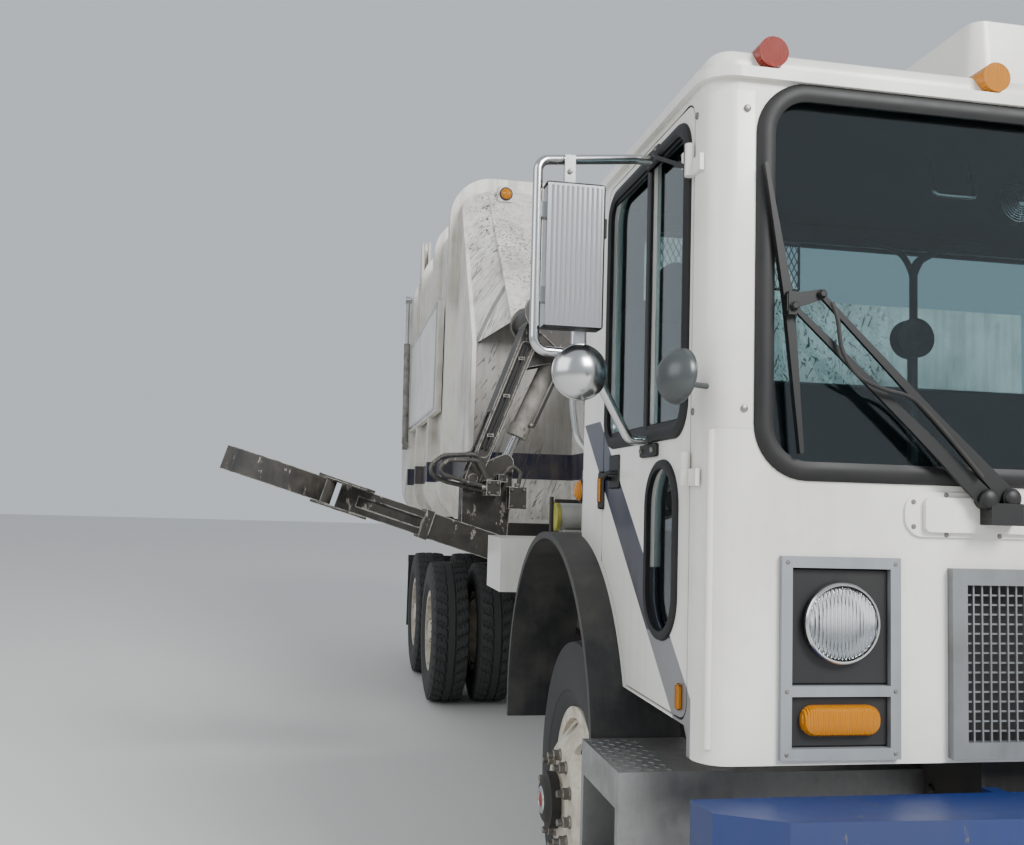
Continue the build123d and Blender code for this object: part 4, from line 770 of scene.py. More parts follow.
# Silver-grey bezel paint with a fine metal flake
BEZEL_GREY = Finish("bezel_grey_paint", "#8f9498", 0.45, metallic=0.35, grime="#55524c", grime_share=0.35)
# Black inside the lamp cells, so that the lamps stand out
CELL_BLACK = Finish("lamp_cell_black", "#141416", 0.5, grime="#33312e", grime_share=0.3)
# Galvanised mesh: grey metal, uneven
MESH_GREY = Finish("galvanised_mesh", "#85888a", 0.5, metallic=0.7, grime="#4d4a44", grime_share=0.5)
# Arm steel: black paint rubbed to bright bare edges
ARM_STEEL = Finish("arm_black_paint_worn_to_steel", "#2a2826", 0.5, grime="#6a6257", grime_share=0.45,
                   patch_mm=130.0, worn="#8d887f", worn_share=0.12, worn_mm=34.0, grain_mm=4.0,
                   grain_depth_mm=0.3, edge="#b9b5ac", edge_mm=7.0)
# Greasy cast steel: dark hollows and pale rubbed high spots
HEAD_STEEL = Finish("greasy_cast_steel", "#3d3a35", 0.5, metallic=0.25, grime="#1c1a17", grime_share=0.6,
                    patch_mm=70.0, worn="#98938a", worn_share=0.2, worn_mm=48.0, grain_mm=5.0,
                    grain_depth_mm=0.4, edge="#c4c0b7", edge_mm=7.0)
# Cylinder barrel paint: pale grey with oily patches
CYLINDER_GREY = Finish("hydraulic_barrel_paint", "#8e8b84", 0.45, grime="#3d362c", grime_share=0.7,
                       patch_mm=110.0, worn="#3a342d", worn_share=0.12)
# Hard chrome: the only mirror-bright line on the arm
ROD_CHROME = Finish("hard_chrome_rod", "#c9cacc", 0.12, metallic=1.0, grime="#5a564e", grime_share=0.2)
# Hydraulic hose rubber: dull black
HOSE_RUBBER = Finish("hydraulic_hose_rubber", "#1b1b1c", 0.55, grime="#57524a", grime_share=0.4)
# Weathered ribbed aluminium: mid grey and matt, the ribs just show
MIRROR_ALUMINIUM = Finish("ribbed_aluminium_back", "#85868a", 0.62, metallic=0.35, grime="#5d5a53",
                          grime_share=0.4)
# Polished stainless tube and bowls: they mirror sky and ground
STAINLESS = Finish("polished_stainless_steel", "#c3c4c4", 0.2, metallic=1.0, grime="#6d6a62", grime_share=0.2)
# Grey-green painted shell of the small round mirror
MIRROR_SHELL = Finish("grey_painted_mirror_shell", "#4a4f50", 0.3, metallic=0.4, grime="#55534c",
                      grime_share=0.3)
# Silvered glass: a clean mirror
SILVERED = Finish("silvered_mirror_glass", "#e8eaeb", 0.03, metallic=1.0, grime_share=0.0)
# Vacuum-coated reflector bowl behind the headlamp lens
REFLECTOR = Finish("vacuum_coated_reflector", "#e3e4e6", 0.08, metallic=1.0, grime_share=0.0)
# Near-black cab lining: partly the dark lining vinyl, partly painted shade inside the cab, which makes the
# cab look deep behind the glass
CAB_LINING_AND_SHADE = Finish("cab_lining_and_painted_shade", "#141b1f", 0.7, grime="#171615", grime_share=0.3)
# Seat and dash vinyl: dark grey with a dull sheen
INTERIOR_VINYL = Finish("interior_grey_vinyl", "#2c2d30", 0.6, grime="#1b1a19", grime_share=0.4)
# Packer plate: steel scoured bright by refuse, stained brown
PACKER_STEEL = Finish("packer_abraded_steel", "#6f6a62", 0.5, metallic=0.6, grime="#4a3c2e", grime_share=0.6,
                      worn="#a19b90", worn_share=0.2)
# Blank painted sign panel: smooth and clean beside the beaten body
SIGN_WHITE = Finish("blank_sign_panel", "#e3e1dc", 0.35, grime="#8a8375", grime_share=0.3, coat=0.2)
# Red rubber oil plug in the hub cap
RED_PLUG = Finish("red_hub_oil_plug", "#8c2a22", 0.35, grime="#4a3a34", grime_share=0.3)

# Blue-green tinted safety glass: clear with a smooth reflection
CAB_GLASS = ClearGlass("tinted_cab_glass", "#b6ccd0", 0.015)
# Headlamp glass with upright flutes that break up the bowl behind
LENS_GLASS = ClearGlass("fluted_headlamp_lens", "#f2f5f6", 0.02, ribs_mm=9.0)
# Amber acrylic with fine prisms: deep yellow-orange
AMBER_LENS = ClearGlass("amber_acrylic_lens", "#c57a00", 0.16, 1.49, 0.15, 0.06, 6.0)
# Amber side lens, its prisms along the truck; its faint glow is painted light on the flank reflectors, which
# are no lamps
AMBER_SIDE = ClearGlass("amber_side_lens", "#b87404", 0.18, 1.49, 0.15, 0.04, 5.0, (0.0, 1.0, 0.0))
# Red-orange acrylic of the corner lamps and tail lamps
RED_LENS = ClearGlass("red_acrylic_lens", "#8e2206", 0.16, 1.49, 0.15, 0.05, 5.0)


# Putting pieces into the scene


@dataclass
class Workshop:
    """Turns skins into scene objects that ride on the truck's bodies."""

    made: list[str] = field(default_factory=list)

    def add(self, name: str, skin: Skin, finish: Finish | ClearGlass, body: str, slot: str,
            replaces: Sequence[str] = (), sharp: float = 38.0) -> bpy.types.Object:
        """Adds one piece.

        Args:
            name: The piece's plain name.
            skin: Its surface in truck millimetres.
            finish: Its material.
            body: The body that it rides on.
            slot: The record's material slot that it belongs to; not used.
            replaces: CAD nodes that it stands for.
            sharp: Edges that turn by more than this many degrees stay sharp.
        Returns:
            The object, at the origin, with its place in its mesh.
        """
        mesh = bpy.data.meshes.new(name)
        points = skin.points / 1000 + TRUCK_ZERO
        mesh.vertices.add(len(points))
        mesh.vertices.foreach_set("co", points.astype(np.float32).ravel())
        counts = np.concatenate([np.full(len(g), g.shape[1]) for g in skin.groups])
        corners = np.concatenate([g.ravel() for g in skin.groups]).astype(np.int32)
        mesh.loops.add(len(corners))
        mesh.loops.foreach_set("vertex_index", corners)
        mesh.polygons.add(len(counts))
        mesh.polygons.foreach_set("loop_start",
                                  np.concatenate([[0], np.cumsum(counts)[:-1]]).astype(np.int32))
        mesh.update(calc_edges=True)
        mesh.validate()
        self._face_outwards(mesh)
        mesh.polygons.foreach_set("use_smooth", np.ones(len(mesh.polygons), dtype=bool))
        mesh.set_sharp_from_angle(angle=math.radians(sharp))
        mesh.materials.append(finish.build())
        piece = bpy.data.objects.new(name, mesh)
        bpy.context.scene.collection.objects.link(piece)
        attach(piece, body)
        if replaces:
            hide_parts(*replaces)
        self.made.append(name)
        LOG.info("%s: %d faces on %s", name, len(mesh.polygons), body)
        return piece

    @staticmethod
    def _face_outwards(mesh: bpy.types.Mesh) -> None:
        """Turns every closed shell's faces outwards.

        Args:
            mesh: The mesh, changed in place.
        """
        work = bmesh.new()
        work.from_mesh(mesh)
        bmesh.ops.remove_doubles(work, verts=work.verts, dist=1e-6)
        bmesh.ops.recalc_face_normals(work, faces=work.faces)
        work.to_mesh(mesh)
        work.free()

    def dress(self, node: str, finish: Finish | ClearGlass) -> None:
        """Gives a carried-over CAD node its finish.

        Args:
            node: The node.
            finish: The finish.
        """
        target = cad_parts[node]
        target.data.materials.clear()
        target.data.materials.append(finish.build())

    def dress_part(self, node: str, finish: Finish | ClearGlass,
                   chosen: Callable[[Array, Array], NDArray[np.bool_]]) -> None:
        """Gives some faces of a dressed CAD node a second finish.

        Args:
            node: The node.
            finish: The second finish.
            chosen: Says for the faces' centres, in truck millimetres, and normals which ones take it.
        """
        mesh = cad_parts[node].data
        mesh.materials.append(finish.build())
        count = len(mesh.polygons)
        centres, normals = np.empty(count * 3), np.empty(count * 3)
        mesh.polygons.foreach_get("center", centres)
        mesh.polygons.foreach_get("normal", normals)
        picked = chosen((centres.reshape(-1, 3) - TRUCK_ZERO) * 1000, normals.reshape(-1, 3))
        slots = np.zeros(count, dtype=np.int32)
        mesh.polygons.foreach_get("material_index", slots)
        mesh.polygons.foreach_set("material_index",
                                  np.where(picked, len(mesh.materials) - 1, slots).astype(np.int32))


def trim(path: Array, up: Sequence[float], section: Sequence[Sequence[float]]) -> Skin:
    """Carries a section round a closed flat path; the section's first value points out of the ring.

    Args:
        path: The ring of points.
        up: The ring's outward normal.
        section: Pairs (distance out of the ring, height along up).
    Returns:
        The closed trim.
    """
    tangent = path[1] - path[-1]
    across = np.cross(tangent, np.asarray(up, float))
    sign = 1.0 if np.dot(across, path[0] - path.mean(axis=0)) > 0 else -1.0
    rows = np.asarray(section, float) * np.array([sign, 1.0])
    return sweep(path, rows, True, up)


def button(centre: Sequence[float], axis: Sequence[float], radius: float, height: float,
           sides: int = 10) -> Skin:
    """A low round head: a flat disc whose rim falls away in one chamfer."""
    return turned(((-1.0, radius), (0.55 * height, radius), (height, 0.72 * radius)), centre, axis, sides)


def dome(centre: Sequence[float], axis: Sequence[float], radius: float, height: float, sides: int = 24,
         rings: int = 7) -> Skin:
    """A cap of a ball: radius * sin t at height * cos t, for t from a right angle to near the pole.

    Args:
        centre: Middle of the rim.
        axis: The way that the cap points.
        radius: Radius of the rim.
        height: Height of the cap over its rim.
        sides: Points round the rim.
        rings: Circles from the rim to the pole.
    Returns:
        The closed skin.
    """
    t = np.linspace(np.pi / 2, 0.06, rings)
    rows = np.stack([height * np.cos(t), radius * np.sin(t)], axis=1)
    return turned(np.vstack([[-1.0, radius], rows]), centre, axis, sides)


def expanded_metal(low: Array, high: Array, y: float, pitch: float) -> Skin:
    """A flat guard of crossing wires in a frame, in the plane across the truck at y.

    Args:
        low: Lower left corner (x, z).
        high: Upper right corner (x, z).
        y: The plane.
        pitch: Distance between neighbouring wires along x.
    Returns:
        The guard; a wire is the line z - z0 = +-2 (x - x0), cut off at the frame.
    """
    wide, tall = high - low
    wires = []
    for lean in (1.0, -1.0):
        for start in np.arange(-tall / 2, wide, pitch):
            s0, s1 = max(0.0, -start * 2), min(tall, (wide - start) * 2)
            if s1 - s0 < 8:
                continue
            x = start + np.array([s0, s1]) / 2
            x = x if lean > 0 else wide - x
            ends = np.column_stack([low[0] + x, [y + 1.5 * lean] * 2, low[1] + np.array([s0, s1])])
            wires.append(tube(ends, 2.2, 4))
    corners = in_front_plane(rounded_loop((low[0], high[0]), (low[1], high[1]), 6, 3), y)
    frame_bar = sweep(corners, ring(5.0, 8), True, (0, 1, 0))
    return joined((*wires, frame_bar))


@dataclass
class Cab:
    """The cab's skin, seals, lamps and fittings."""

    half_width: float = 1160.0
    depth: float = 1190.0
    corner_r: float = 70.0
    lining_reach: float = 56.0
    windshield_half: float = 1015.0
    windshield_low: float = 1608.0
    windshield_high: float = 2496.0
    rear_window: tuple[float, float] = (1960.0, 2480.0)
    guard_low: tuple[float, float] = (-930.0, 2300.0)
    guard_high: tuple[float, float] = (-368.0, 2472.0)
    wire_pitch: float = 21.0
    lining_low: float = 1180.0
    door_sheet: float = 34.0
    window_y: tuple[float, float] = (140.0, 830.0)
    window_z: tuple[float, float] = (1700.0, 2460.0)
    peep_y: tuple[float, float] = (190.0, 413.0)
    peep_z: tuple[float, float] = (1185.0, 1617.0)
    cover_z: tuple[float, float] = (1694.0, 2498.0)

    def build(self, shop: Workshop) -> None:
        """Dresses the cab and adds its pieces.

        Args:
            shop: Where the pieces go.
        """
        for node in ("cab_shell", "cab_nose", "cab_roof"):
            shop.dress(node, CAB_ENAMEL)
        shop.dress("cab_glass", CAB_GLASS)
        # The shell's inner faces and the roof's underside take the near-black lining, partly painted shade
        # inside the cab
        shop.dress_part("cab_shell", CAB_LINING_AND_SHADE, lambda p, n: self._within(p) & (p[:, 2] > self.lining_low))
        shop.dress_part("cab_roof", CAB_LINING_AND_SHADE, lambda p, n: self._within(p) & (n[:, 2] < -0.3))
        self._seals(shop)
        self._pillars(shop)
        self._nose_fittings(shop)
        for side in Side:
            self._door(shop, side)
            self._flank(shop, side)

    def _within(self, points: Array) -> NDArray[np.bool_]:
        """Says which points lie inside the wall: near a core one corner radius inside the outline.

        Args:
            points: Array (n, 3) in truck millimetres.
        Returns:
            One true or false for each point.
        """
        r = self.corner_r
        across = np.maximum(np.abs(points[:, 0]) - (self.half_width - r), 0)
        along = np.maximum(np.maximum(r - points[:, 1], points[:, 1] - (self.depth - r)), 0)
        return np.hypot(across, along) < self.lining_reach

    def _seals(self, shop: Workshop) -> None:
        """Adds the rubber seals of the windshield and the rear window.

        Args:
            shop: Where the pieces go.
        """
        lip = ((-13, -3), (-15, 9), (-4, 14), (8, 15), (24, 10), (30, 3), (30, -1), (2, -1), (2, -4))
        low, high, half = self.windshield_low, self.windshield_high, self.windshield_half
        ring_path = in_front_plane(rounded_loop((-half, half), (low, high), 100, 12), 0)
        shop.add("windshield_seal", trim(ring_path, (0, -1, 0), lip), GASKET_RUBBER, "chassis", "wiper_black")
        rear = in_front_plane(rounded_loop((-950, 950), self.rear_window, 60, 8), self.depth)
        back_lip = ((-12, -3), (-14, 7), (-3, 10), (16, 8), (22, 0), (2, -1))
        shop.add("rear_window_seal", trim(rear, (0, 1, 0), back_lip), GASKET_RUBBER, "chassis", "wiper_black")
        guard = expanded_metal(np.array(self.guard_low), np.array(self.guard_high), self.depth - 20,
                               self.wire_pitch)
        shop.add("rear_window_guard", guard, MESH_GREY, "chassis", "bezel_grey")

    def _pillars(self, shop: Workshop) -> None:
        """Adds the corner covers with their screws, each a thin sheet bent round the cab's corner.

        Args:
            shop: Where the pieces go.
        """
        t = np.linspace(0, np.pi / 2, 9)
        reach = self.half_width - self.corner_r
        cover_r = self.corner_r + 3
        corner = np.stack([-(reach + cover_r * np.sin(t)), self.corner_r - cover_r * np.cos(t)], axis=1)
        flat = np.array([[-1050.0, -3.0], *corner, [-self.half_width - 3, 88.0]])
        low, high = self.cover_z
        heights = (low, low + 8, high - 8, high)
        outer = np.stack([np.column_stack([flat, np.full(len(flat), height)]) for height in heights])
        outer[0, :, :2] = outer[0, :, :2] * [0.9985, 1] + [0, 2]
        outer[-1, :, :2] = outer[-1, :, :2] * [0.9985, 1] + [0, 2]
        inner = outer[::-1] * np.array([0.9955, 1, 1]) + np.array([0, 3.2, 0])
        sheet = grid(np.concatenate([outer, inner]), wrap_u=True)
        heads = joined(button((-1070, -3.5, z), (0, -1, 0), 9, 4) for z in (1740, 2452))
        side_heads = joined(button((-self.half_width - 3.5, 78, z), (-1, 0, 0), 9, 4) for z in (1735, 2455))
        # Half-round bead from under the cover down the corner
        bead = tube(np.array([[-1141.0, 20.0, z] for z in (968.0, 1320.0, 1690.0)]), 9, 14)
        for side in Side:
            shop.add(f"corner_cover_{side.word}", joined((sheet, bead)).on(side), CAB_ENAMEL, "chassis",
                     "cab_white")
            shop.add(f"corner_screws_{side.word}", joined((heads, side_heads)).on(side), STEEL_NUT,
                     "chassis", "bezel_grey")

    def _nose_fittings(self, shop: Workshop) -> None:
        """Dresses the wiper plate and adds its screws: two rows along it and two at each end.

        Args:
            shop: Where the pieces go.
        """
        shop.dress("wiper_cover", CAB_ENAMEL)
        spots = [[x, 0, z] for z in (1462, 1556) for x in np.linspace(-560, 560, 9)]
        spots += [[sx * 645, 0, z] for sx in (-1, 1) for z in (1480, 1538)]
        heads = button((0, -5.5, 0), (0, -1, 0), 6, 3.5).copies(np.array(spots))
        shop.add("wiper_plate_screws", heads, STEEL_NUT, "chassis", "bezel_grey")

    def _door(self, shop: Workshop, side: Side) -> None:
        """Dresses a door and adds its window seals, slider frame and handle.

        Args:
            shop: Where the pieces go.
            side: The door's side.
        """
        word, body = side.word, f"door_{side.word}"
        shop.dress(f"door_{word}", CAB_ENAMEL)
        lining_x = self.half_width - self.door_sheet
        # The door's inner faces take the same near-black lining, partly painted shade
        shop.dress_part(f"door_{word}", CAB_LINING_AND_SHADE, lambda p, n: np.abs(p[:, 0]) < lining_x)
        shop.dress(f"door_glass_{word}", CAB_GLASS)
        x = -self.half_width
        lip = ((-12, -4), (-14, 8), (-4, 13), (6, 13), (18, 8), (21, 2), (21, -1), (2, -1))
        window = in_side_plane(rounded_loop(self.window_y, self.window_z, 70, 10), x)
        peep = in_side_plane(rounded_loop(self.peep_y, self.peep_z, 108, 12), x)
        slim = ((-9, -4), (-10, 9), (-2, 12), (5, 11), (12, 7), (14, 1), (14, -1), (2, -1))
        seals = joined((trim(window, (-1, 0, 0), lip), trim(peep, (-1, 0, 0), slim)))
        shop.add(f"door_seals_{word}", seals.on(side), GASKET_RUBBER, body, "wiper_black")
        # The slider's frame: two sash bars and a rail low down
        sash = joined((
            block((x + 6, 436, 1712), (x - 4, 462, 2448), 3),
            block((x + 6, 462, 1712), (x - 1, 474, 2448), 3),
            block((x + 6, 152, 1712), (x - 2, 166, 2448), 3),
            block((x + 6, 150, 1712), (x - 2, 820, 1728), 3),
            block((x + 6, 150, 2436), (x - 2, 820, 2450), 3),
        ))
        shop.add(f"window_sash_{word}", sash.on(side), BLACK_PLASTIC, body, "wiper_black")
        handle = joined((
            block((x + 1, 690, 1560), (x - 6, 790, 1660), 5),
            tube(bent_path(((x - 4, 775, 1590), (x - 30, 770, 1592), (x - 32, 705, 1606),
                            (x - 6, 700, 1606)), 14), 7, 10),
        ))
        shop.add(f"door_handle_{word}", handle.on(side), BLACK_PLASTIC, body, "wiper_black")

    def _flank(self, shop: Workshop, side: Side) -> None:
        """Adds the side lamps, the rear post, its lamp and the bent grab pole.

        Args:
            shop: Where the pieces go.
            side: The side that they stand on.
        """
        word = side.word
        x = -self.half_width
        lamp = block((x + 1, 128, 1030), (x - 14, 150, 1092), 5)
        shop.add(f"side_marker_{word}", lamp.on(side), AMBER_SIDE, f"door_{word}", "amber_lens")
        reflector_base = block((x + 1, 850, 1497), (x - 10, 905, 1614), 5)
        shop.add(f"flank_reflector_base_{word}", reflector_base.on(side), BLACK_PLASTIC, "chassis",
                 "wiper_black")
        # The reflector's lens takes the side lens's faint glow: painted light on a part that is no lamp
        lens = block((x - 9, 862, 1518), (x - 15, 893, 1594), 3)
        shop.add(f"flank_reflector_{word}", lens.on(side), AMBER_SIDE, "chassis", "amber_lens")
        # Post behind the cab with its round lamp, and the bent pole that stands on it
        post = joined((block((-1112, 1160, 1380), (-1096, 1327, 1636), 4),
                       block((-1100, 1180, 1420), (-1060, 1200, 1600), 3)))
        shop.add(f"rear_post_{word}", post.on(side), CAB_ENAMEL, "chassis", "cab_white")
        centre = np.array([-1112.0, 1290.0, 1559.0])
        base = turned(((-2, 42), (14, 42), (19, 38)), centre, (-1, 0, 0), 28)
        shop.add(f"post_lamp_base_{word}", base.on(side), BLACK_PLASTIC, "chassis", "wiper_black")
        shop.add(f"post_lamp_{word}", dome(centre - [16, 0, 0], (-1, 0, 0), 37, 24).on(side), AMBER_LENS,
                 "chassis", "amber_lens")
        pole = tube(bent_path(((-1112, 1230, 1600), (-1112, 1230, 1690), (-1160, 1230, 1738),
                               (-1178, 1230, 1860), (-1178, 1226, 2230), (-1120, 1196, 2290),
                               (-1120, 1186, 2292)), 45), 13, 14)
        foot = block((-1128, 1212, 1596), (-1100, 1248, 1676), 4)
        shop.add(f"grab_pole_{word}", joined((pole, foot)).on(side), STAINLESS, "chassis", "mirror_aluminium")


@dataclass
class FrontLamps:
    """Bezels, headlamps, signals, roof lamps and the grille."""

    centre_x: float = 830.0
    headlamp_z: float = 1254.0
    signal_z: float = 1034.0
    headlamp_r: float = 86.0
    signal_half: tuple[float, float] = (97.0, 34.0)
    screw_x: float = 134.0
    screw_zs: tuple[float, float, float] = (960.0, 1100.0, 1391.0)
    red_marker_x: float = 900.0

    def build(self, shop: Workshop) -> None:
        """Dresses the bezels and makes lamps with a reflector bowl, a lens and a chrome ring.

        Args:
            shop: Where the pieces go.
        """
        shop.dress("lamp_bezels", BEZEL_GREY)
        shop.dress("grille", MESH_GREY)
        bowls, lenses, rings, cells, signals, screws = [], [], [], [], [], []
        for side in Side:
            x, z = side.value * self.centre_x, self.headlamp_z
            rows = [(-2 - 34 * (1 - (r / self.headlamp_r) ** 2), r)
                    for r in np.linspace(8, self.headlamp_r, 9)]
            rows = [(-40, self.headlamp_r + 2), (-40, 8), *rows, (2, self.headlamp_r + 2)]
            bowls.append(turned(rows, (x, -14, z), (0, -1, 0), 40))
            lenses.append(dome((x, -15, z), (0, -1, 0), self.headlamp_r, 16, 40, 9))
            rings.append(turned(((-6, 93), (4, 93), (7, 90), (7, 86), (-2, 84), (-6, 84)), (x, -16, z),
                                (0, -1, 0), 48))
            cells.append(block((x - 123, 0, 1114), (x + 123, 28, 1377), 3))
            cells.append(block((x - 121, 0, 974), (x + 121, 28, 1086), 3))
            half_x, half_z = self.signal_half
            signal = rounded_loop((x - half_x, x + half_x), (self.signal_z - half_z, self.signal_z + half_z),
                                  30, 7)
            loop = in_front_plane(signal, -12)
            centre = loop.mean(axis=0)
            rows_s = np.stack([loop + [0, 20, 0], loop,
                               centre + (loop - centre) * [0.94, 1, 0.85] + [0, -9, 0],
                               centre + (loop - centre) * [0.75, 1, 0.5] + [0, -13, 0]])
            signals.append(grid(rows_s, wrap_v=True, cap=True))
            for dx in (-self.screw_x, self.screw_x):
                for screw_z in self.screw_zs:
                    screws.append(button((x + dx, -13.5, screw_z), (0, -1, 0), 5, 3, 8))
        shop.add("headlamp_reflectors", joined(bowls), REFLECTOR, "chassis", "lamp_lens",
                 replaces=("front_lamps",))
        shop.add("headlamp_lenses", joined(lenses), LENS_GLASS, "chassis", "lamp_lens")
        shop.add("headlamp_rings", joined(rings), STAINLESS, "chassis", "bezel_grey")
        shop.add("lamp_cells", joined(cells), CELL_BLACK, "chassis", "wiper_black")
        shop.add("turn_signals", joined(signals), AMBER_LENS, "chassis", "amber_lens")
        shop.add("bezel_screws", joined(screws), STEEL_NUT, "chassis", "bezel_grey")
        shop.dress("marker_lamps", AMBER_LENS)
        shop.dress_part("marker_lamps", RED_LENS, lambda p, n: np.abs(p[:, 0]) > self.red_marker_x)
        backing = block((-520, 42, 960), (520, 48, 1370), 2)
        shop.add("grille_backing", backing, CELL_BLACK, "chassis", "wiper_black")


@dataclass
class Mirrors:
    """The two mirror sets that ride on the doors, and the two look-down mirrors at the nose's corners."""

    outer_x: float = -1487.0
    inner_x: float = -1340.0
    low: float = 1957.0
    high: float = 2324.0
    y_front: float = 270.0
    rib_mm: float = 13.0
    round_mirror: tuple[float, float, float] = (-1384.0, 300.0, 1847.0)
    corner_mirror: tuple[float, float, float] = (-1242.0, -22.0, 1805.0)
    corner_way: tuple[float, float, float] = (-0.95, -0.28, 0.1)

    def build(self, shop: Workshop) -> None:
        """Dresses the tubes and adds ribbed backs, silvered faces, caps, brackets and bolts.

        Args:
            shop: Where the pieces go.
        """
        back, caps, glass = self._back(), self._caps(), self._faces()
        brackets, bolts = self._brackets()
        for side in Side:
            body, word = f"door_{side.word}", side.word
            shop.dress(f"mirror_{word}", STAINLESS)
            shop.add(f"mirror_back_{word}", back.on(side), MIRROR_ALUMINIUM, body, "mirror_aluminium")
            shop.add(f"mirror_caps_{word}", caps.on(side), BLACK_PLASTIC, body, "wiper_black")
            shop.add(f"mirror_faces_{word}", glass.on(side), SILVERED, body, "mirror_aluminium")
            shop.add(f"mirror_brackets_{word}", brackets.on(side), BLACK_PLASTIC, body, "wiper_black")
            shop.add(f"mirror_bolts_{word}", bolts.on(side), STEEL_NUT, body, "bezel_grey")
            shop.add(f"round_mirror_back_{word}", self._bowl(self.round_mirror, (0, -1, 0), 71).on(side),
                     STAINLESS, body, "mirror_aluminium")
            corner = np.array(self.corner_mirror)
            out = np.array(self.corner_way) / np.linalg.norm(self.corner_way)
            shell = self._bowl(corner, out, 62)
            face = turned(((11, 60), (14, 59), (17, 36), (18, 10)), corner, -out, 40)
            shop.add(f"corner_mirror_shell_{word}", shell.on(side), MIRROR_SHELL, "chassis", "wiper_black")
            shop.add(f"corner_mirror_face_{word}", face.on(side), SILVERED, "chassis", "mirror_aluminium")
        shop.dress("corner_mirrors", MIRROR_SHELL)

    def _back(self) -> Skin:
        """The ribbed back: y falls by a cosine of x, one wave for each rib, and runs out at the edges.

        Returns:
            The closed skin.
        """
        n = 331
        x = np.linspace(self.outer_x, self.inner_x, n)
        ribs = 2.6 * np.abs(np.cos(np.pi * (x - self.outer_x) / self.rib_mm)) ** 0.7
        edge = np.minimum(1.0, np.minimum(x - self.outer_x, self.inner_x - x) / 5.0)
        front = self.y_front + 4.0 - (ribs + 2.0) * edge
        z = np.array([self.low, self.low + 6, self.high - 6, self.high])
        inset = np.array([5.0, 0.0, 0.0, 5.0])
        outer = np.stack([np.column_stack([x, front + i, np.full(n, h)]) for h, i in zip(z, inset)])
        back = outer[::-1].copy()
        back[:, :, 1] = self.y_front + 52
        return grid(np.concatenate([outer, back]), wrap_u=True)

    def _caps(self) -> Skin:
        """The thin black caps along the head's top, foot and inner edge, and its folding handle.

        Returns:
            The caps and the handle.
        """
        a, b, y = self.outer_x - 3, self.inner_x + 3, self.y_front
        return joined((
            block((a, y + 1, self.low - 4), (b, y + 56, self.low + 3), 3),
            block((a, y + 1, self.high - 4), (b, y + 56, self.high + 5), 3),
            block((b - 3, y + 2, self.low), (b + 2, y + 54, self.high), 2),
            block((b, y + 20, 2194), (b + 12, y + 34, 2248), 3),
        ))

    def _faces(self) -> Skin:
        """The flat mirror glass and the round one, both facing rearward.

        Returns:
            The two faces of one set.
        """
        flat = block((self.outer_x + 6, self.y_front + 54, self.low + 12),
                     (self.inner_x - 6, self.y_front + 60.5, self.high - 12), 1)
        x, y, z = self.round_mirror
        round_face = turned(((-1, 68), (2.5, 67), (6, 40), (7.5, 12)), (x, y + 13, z), (0, 1, 0), 40)
        return joined((flat, round_face))

    @staticmethod
    def _bowl(centre: Sequence[float], axis: Sequence[float], radius: float) -> Skin:
        """A round mirror's smooth back, a cap of the sphere through its rim and tip, and its rolled rim.

        Args:
            centre: Middle of the rim.
            axis: The way that the back points.
            radius: Radius of the rim.
        Returns:
            The closed skin.
        """
        height, gap = 40.0, 0.3
        swell = (radius**2 + height**2) / (2 * height)
        angles = np.linspace(np.arcsin(radius / swell), 0.04, 14)
        curve = [(swell * np.cos(a) - swell + (height + gap), swell * np.sin(a) + gap) for a in angles]
        rim = [(-10 + 3 * np.cos(t), radius + 3 * np.sin(t)) for t in np.linspace(np.pi, 0.3, 6)]
        return turned((*rim, *curve), centre, axis, 56)

    def _brackets(self) -> tuple[Skin, Skin]:
        """The black plates that hold the tube to the door, with their bolts, and the brace at the top.

        Returns:
            The plates with the brace, and the bolts.
        """
        x = -1160.0
        plates = joined((
            block((x + 1, 334, 1640), (x - 12, 470, 1676), 4),
            block((x + 1, 352, 2432), (x - 14, 446, 2484), 5),
            block((-1424, 292, 2300), (-1398, 300, 2330), 2),
        ))
        brace = tube(bent_path(((x - 8, 392, 2464), (x - 22, 340, 2440), (x - 6, 104, 2332)), 18), 6, 10)
        spots = np.array([[0, y, 1658] for y in (356, 448)] + [[0, y, 2472] for y in (366, 434)], float)
        bolts = button((x - 12, 0, 0), (-1, 0, 0), 8, 6, 6).copies(spots)
        strap_holes = turned(((0, 7), (3, 7), (4, 5)), (-1424, 299, 2366), (0, -1, 0), 12)
        return joined((plates, brace)), joined((bolts, strap_holes))


class Tread(Enum):
    """The two tread patterns: ribs on the steered wheels, lugs on the driven ones."""

    RIB = "rib"
    LUG = "lug"


